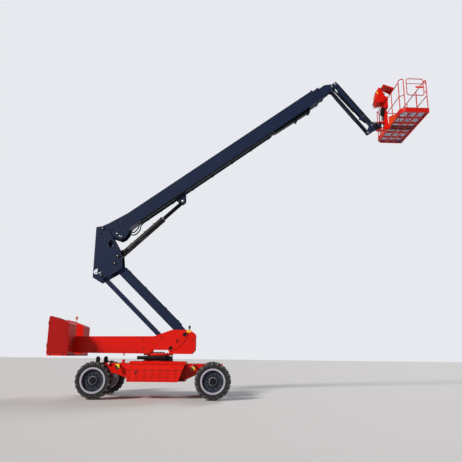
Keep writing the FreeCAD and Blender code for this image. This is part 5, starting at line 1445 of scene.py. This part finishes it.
bm = bmesh.new()
for x in (GATE_NEAR, GATE_FAR):
    add_path(bm, bent([on_gate(GATE_MIDDLE, KNEE), on_gate(x, KNEE), on_gate(x, RAIL_TOP),
                       on_gate(GATE_MIDDLE, RAIL_TOP)], 0.09), GATE_R)
add_path(bm, [on_gate(GATE_NEAR, GATE_BAR), on_gate(GATE_FAR, GATE_BAR)], GATE_R - 0.003)
add_path(bm, [on_gate(GATE_MIDDLE, 0.165), on_gate(GATE_MIDDLE, KNEE)], GATE_R - 0.003)
for z in (KNEE + 0.13, RAIL_TOP - 0.13):
    add_path(bm, [on_gate(HINGE, z - 0.04), on_gate(HINGE, z + 0.04)], 0.011)
    add_path(bm, [on_gate(GATE_FAR, z), on_gate(HINGE, z)], 0.008)
gate = finish_mesh("gate_hoop", bm, RED_PLATFORM, "gate")
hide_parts("platform_gate")

bm = bmesh.new()
add_block(bm, at(*CAB(GATE_FAR - 0.130, GATE_SIDE - 0.001, GATE_BAR - 0.115)),
          (0.27, 0.006, 0.062), 0.002)
finish_mesh("gate_blank_plate", bm, RED, "gate")
print("gate", round(GATE_FAR - GATE_NEAR, 2), "m wide")

# %% [markdown]
# The console leans away from the operator. Its housing is folded sheet, so it
# is drawn from the side and given its width, with a shelf for the controls and
# a box below that. A lid stands open over it on two flat arms.

# %% Console housing
HOUSING = [(-0.426, 0.970), (-0.391, 0.840), (-0.137, 0.883), (-0.128, 1.137),
           (-0.159, 1.254), (-0.255, 1.409), (-0.330, 1.409)]
SHELF = [(-0.130, 0.975), (-0.004, 0.975), (-0.004, 1.060), (-0.060, 1.110), (-0.150, 1.110)]
LOWER_BOX = [(-0.150, 0.690), (-0.004, 0.690), (-0.004, 0.982), (-0.150, 0.982)]
LID_ARM = [(-0.325, 1.409), (-0.110, 1.409), (-0.118, 1.552), (-0.138, 1.552),
           (-0.150, 1.423), (-0.325, 1.423)]
LID_CHEEK = [(0, -0.008), (0.39, -0.008), (0.39, -0.076), (0.33, -0.060)]
LID_HINGE, LID_LEAN = (-0.141, 0, 1.557), 18

bm = bmesh.new()
for outline, half_wide, chamfer in ((HOUSING, 0.20, 0.012), (SHELF, 0.185, 0.006),
                                    (LOWER_BOX, 0.15, 0.006)):
    add_plate(bm, CAB, outline, -half_wide, half_wide * 2, chamfer)
for side in MIRROR_SIDES:
    low, high = sorted((side * 0.180, side * 0.188))
    add_plate(bm, CAB, LID_ARM, low, high - low, 0.001)
lid = CAB.block(*LID_HINGE) @ Matrix.Rotation(math.radians(LID_LEAN), 4, "Y")
add_block(bm, lid @ at(0.195, 0, -0.005), (0.39, 0.376, 0.010), 0.003)
add_block(bm, lid @ at(0.385, 0, -0.038), (0.010, 0.376, 0.076), 0.003)
for side in MIRROR_SIDES:
    add_prism(bm, [lid @ Vector((x, side * 0.184, z)) for x, z in LID_CHEEK],
              Vector((0, side * 0.004, 0)), 0.001)
console = finish_mesh("console_housing", bm, RED, "platform")
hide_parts("control_console")
print("the lid's hinge is", LID_HINGE[2], "m over the floor's underside")

# %% [markdown]
# The joysticks sit on the shelf in ribbed rubber gaiters, with small switches
# between them, a red stop button at the end and a bent wire under each side.
# A gaiter is one turned profile that swings in and out, so it costs nothing
# more than a plain cone.

# %% Console controls
CONTROL_LEVEL, STICK_X, SWITCH_X, GUARD_Y = 1.112, -0.100, -0.080, 0.176
bm = bmesh.new()
add_plate(bm, CAB, [(-0.152, 1.100), (-0.062, 1.112), (-0.066, 1.122), (-0.152, 1.118)],
          -0.17, 0.34, 0.002)
for y in (-0.11, 0.0, 0.11):
    add_lathe(bm, at(*CAB(STICK_X, y, CONTROL_LEVEL)),
              [(0.030, 0), (0.030, 0.006), (0.021, 0.012), (0.024, 0.018), (0.015, 0.024),
               (0.018, 0.030), (0.009, 0.038), (0.008, 0.09), (0.015, 0.10), (0.017, 0.125),
               (0.011, 0.145), (0.004, 0.150)], 16)
for y in (-0.155, -0.06, 0.055, 0.155):
    add_lathe(bm, at(*CAB(SWITCH_X, y, CONTROL_LEVEL)),
              [(0.008, 0), (0.008, 0.012), (0.004, 0.028)], 10)
for side in MIRROR_SIDES:
    wire = [CAB(x, side * GUARD_Y, z) for x, z in
             ((-0.10, 0.84), (-0.42, 0.80), (-0.46, 0.96), (-0.43, 0.99))]
    add_path(bm, bent(wire, 0.04), 0.005, 8)
finish_mesh("console_switches", bm, BLACK_PLASTIC, "platform")

bm = bmesh.new()
add_lathe(bm, at(*CAB(STICK_X, 0.17, CONTROL_LEVEL)),
          [(0.022, 0), (0.022, 0.012), (0.012, 0.012), (0.012, 0.022), (0.020, 0.026),
           (0.019, 0.040), (0.012, 0.044)], 20)
finish_mesh("console_stop_button", bm, LAMP_RED, "platform")
bm = bmesh.new()
for side in MIRROR_SIDES:
    label = CAB.block(-0.375, side * 0.201, 1.215) @ Matrix.Rotation(math.radians(-10), 4, "Y")
    add_block(bm, label, (0.045, 0.003, 0.085), 0.001)
finish_mesh("console_blank_label", bm, YELLOW, "platform")
print("three joysticks and four switches on the console")

# %% [markdown]
# ## Camera, light and floor
# The camera stands low and well back, and looks up a little. It could be turned
# by three angles, but two directions are easier to read: one to its right and
# one ahead. Its up is square to both.

# %% Camera
CAMERA_PLACE = Vector((1.575, -15.649, 1.204))
CAMERA_RIGHT = Vector((0.99919, -0.03871, 0.01127))
CAMERA_AHEAD = Vector((0.03486, 0.96999, 0.24065))
camera = bpy.data.objects.new("camera", bpy.data.cameras.new("camera"))
bpy.context.scene.collection.objects.link(camera)
camera.data.lens, camera.data.sensor_width = 39.2, 36.0
camera_up = CAMERA_RIGHT.cross(CAMERA_AHEAD).normalized()
turn = Matrix((CAMERA_RIGHT, camera_up, -CAMERA_AHEAD)).transposed().to_4x4()
camera.matrix_world = Matrix.Translation(CAMERA_PLACE) @ turn
bpy.context.scene.camera = camera
print("camera at", [round(v, 2) for v in CAMERA_PLACE])

# %% [markdown]
# A large soft light high on the left plays the studio's key light, and a weaker
# one behind the machine brightens its edges. The world is a pale sky.
# It lights the machine weakly, so that the shadows keep their shape, but the
# camera sees it bright, as a studio's backdrop is.

# %% Lights and sky


def soft_sun(name, towards, power, spread, tint):
    """A far lamp whose width in degrees sets how soft its shadows are."""
    data = bpy.data.lights.new(name, "SUN")
    data.energy, data.angle = power, math.radians(spread)
    data.color = colour(tint)[:3]
    lamp = bpy.data.objects.new(name, data)
    bpy.context.scene.collection.objects.link(lamp)
    lamp.rotation_euler = Vector(towards).to_track_quat("-Z", "Y").to_euler()


soft_sun("key", (0.62, 0.66, -0.52), 3.6, 12, "#FFF8F0")
soft_sun("back", (-0.35, -0.8, -0.5), 1.4, 25, "#F4F7FF")
SKY_LIGHT, SKY_SEEN = 0.2, 0.86
world = bpy.data.worlds.new("studio")
bpy.context.scene.world = world
world.use_nodes = True
sky = world.node_tree.nodes["Background"]
sky.inputs["Color"].default_value = (0.93, 0.95, 1.0, 1)
seen = add(world, "ShaderNodeLightPath")
level = add(world, "ShaderNodeMapRange", {"To Min": SKY_LIGHT, "To Max": SKY_SEEN},
            {"Value": seen.outputs["Is Camera Ray"]})
feed(world, level.outputs["Result"], sky, "Strength")
bpy.context.scene.view_settings.view_transform = "Standard"
print("lights:", [light.name for light in bpy.data.lights])

# %% [markdown]
# The floor is a plain pale sheet, wide enough that its edge lies close to the
# horizon. It isn't part of the machine.

# %% Floor
FLOOR_HALF = 150
floor_mesh = bmesh.new()
bmesh.ops.create_grid(floor_mesh, x_segments=8, y_segments=8, size=FLOOR_HALF)
floor_data = bpy.data.meshes.new("floor")
floor_mesh.to_mesh(floor_data)
floor_mesh.free()
floor = bpy.data.objects.new("floor", floor_data)
bpy.context.scene.collection.objects.link(floor)
FLOOR, floor_shader = new_material("pale_studio_floor", Roughness=0.9)
floor_shader.inputs["Base Color"].default_value = (0.6, 0.6, 0.6, 1)
floor_data.materials.append(FLOOR)
print("floor reaches", FLOOR_HALF, "m each way")
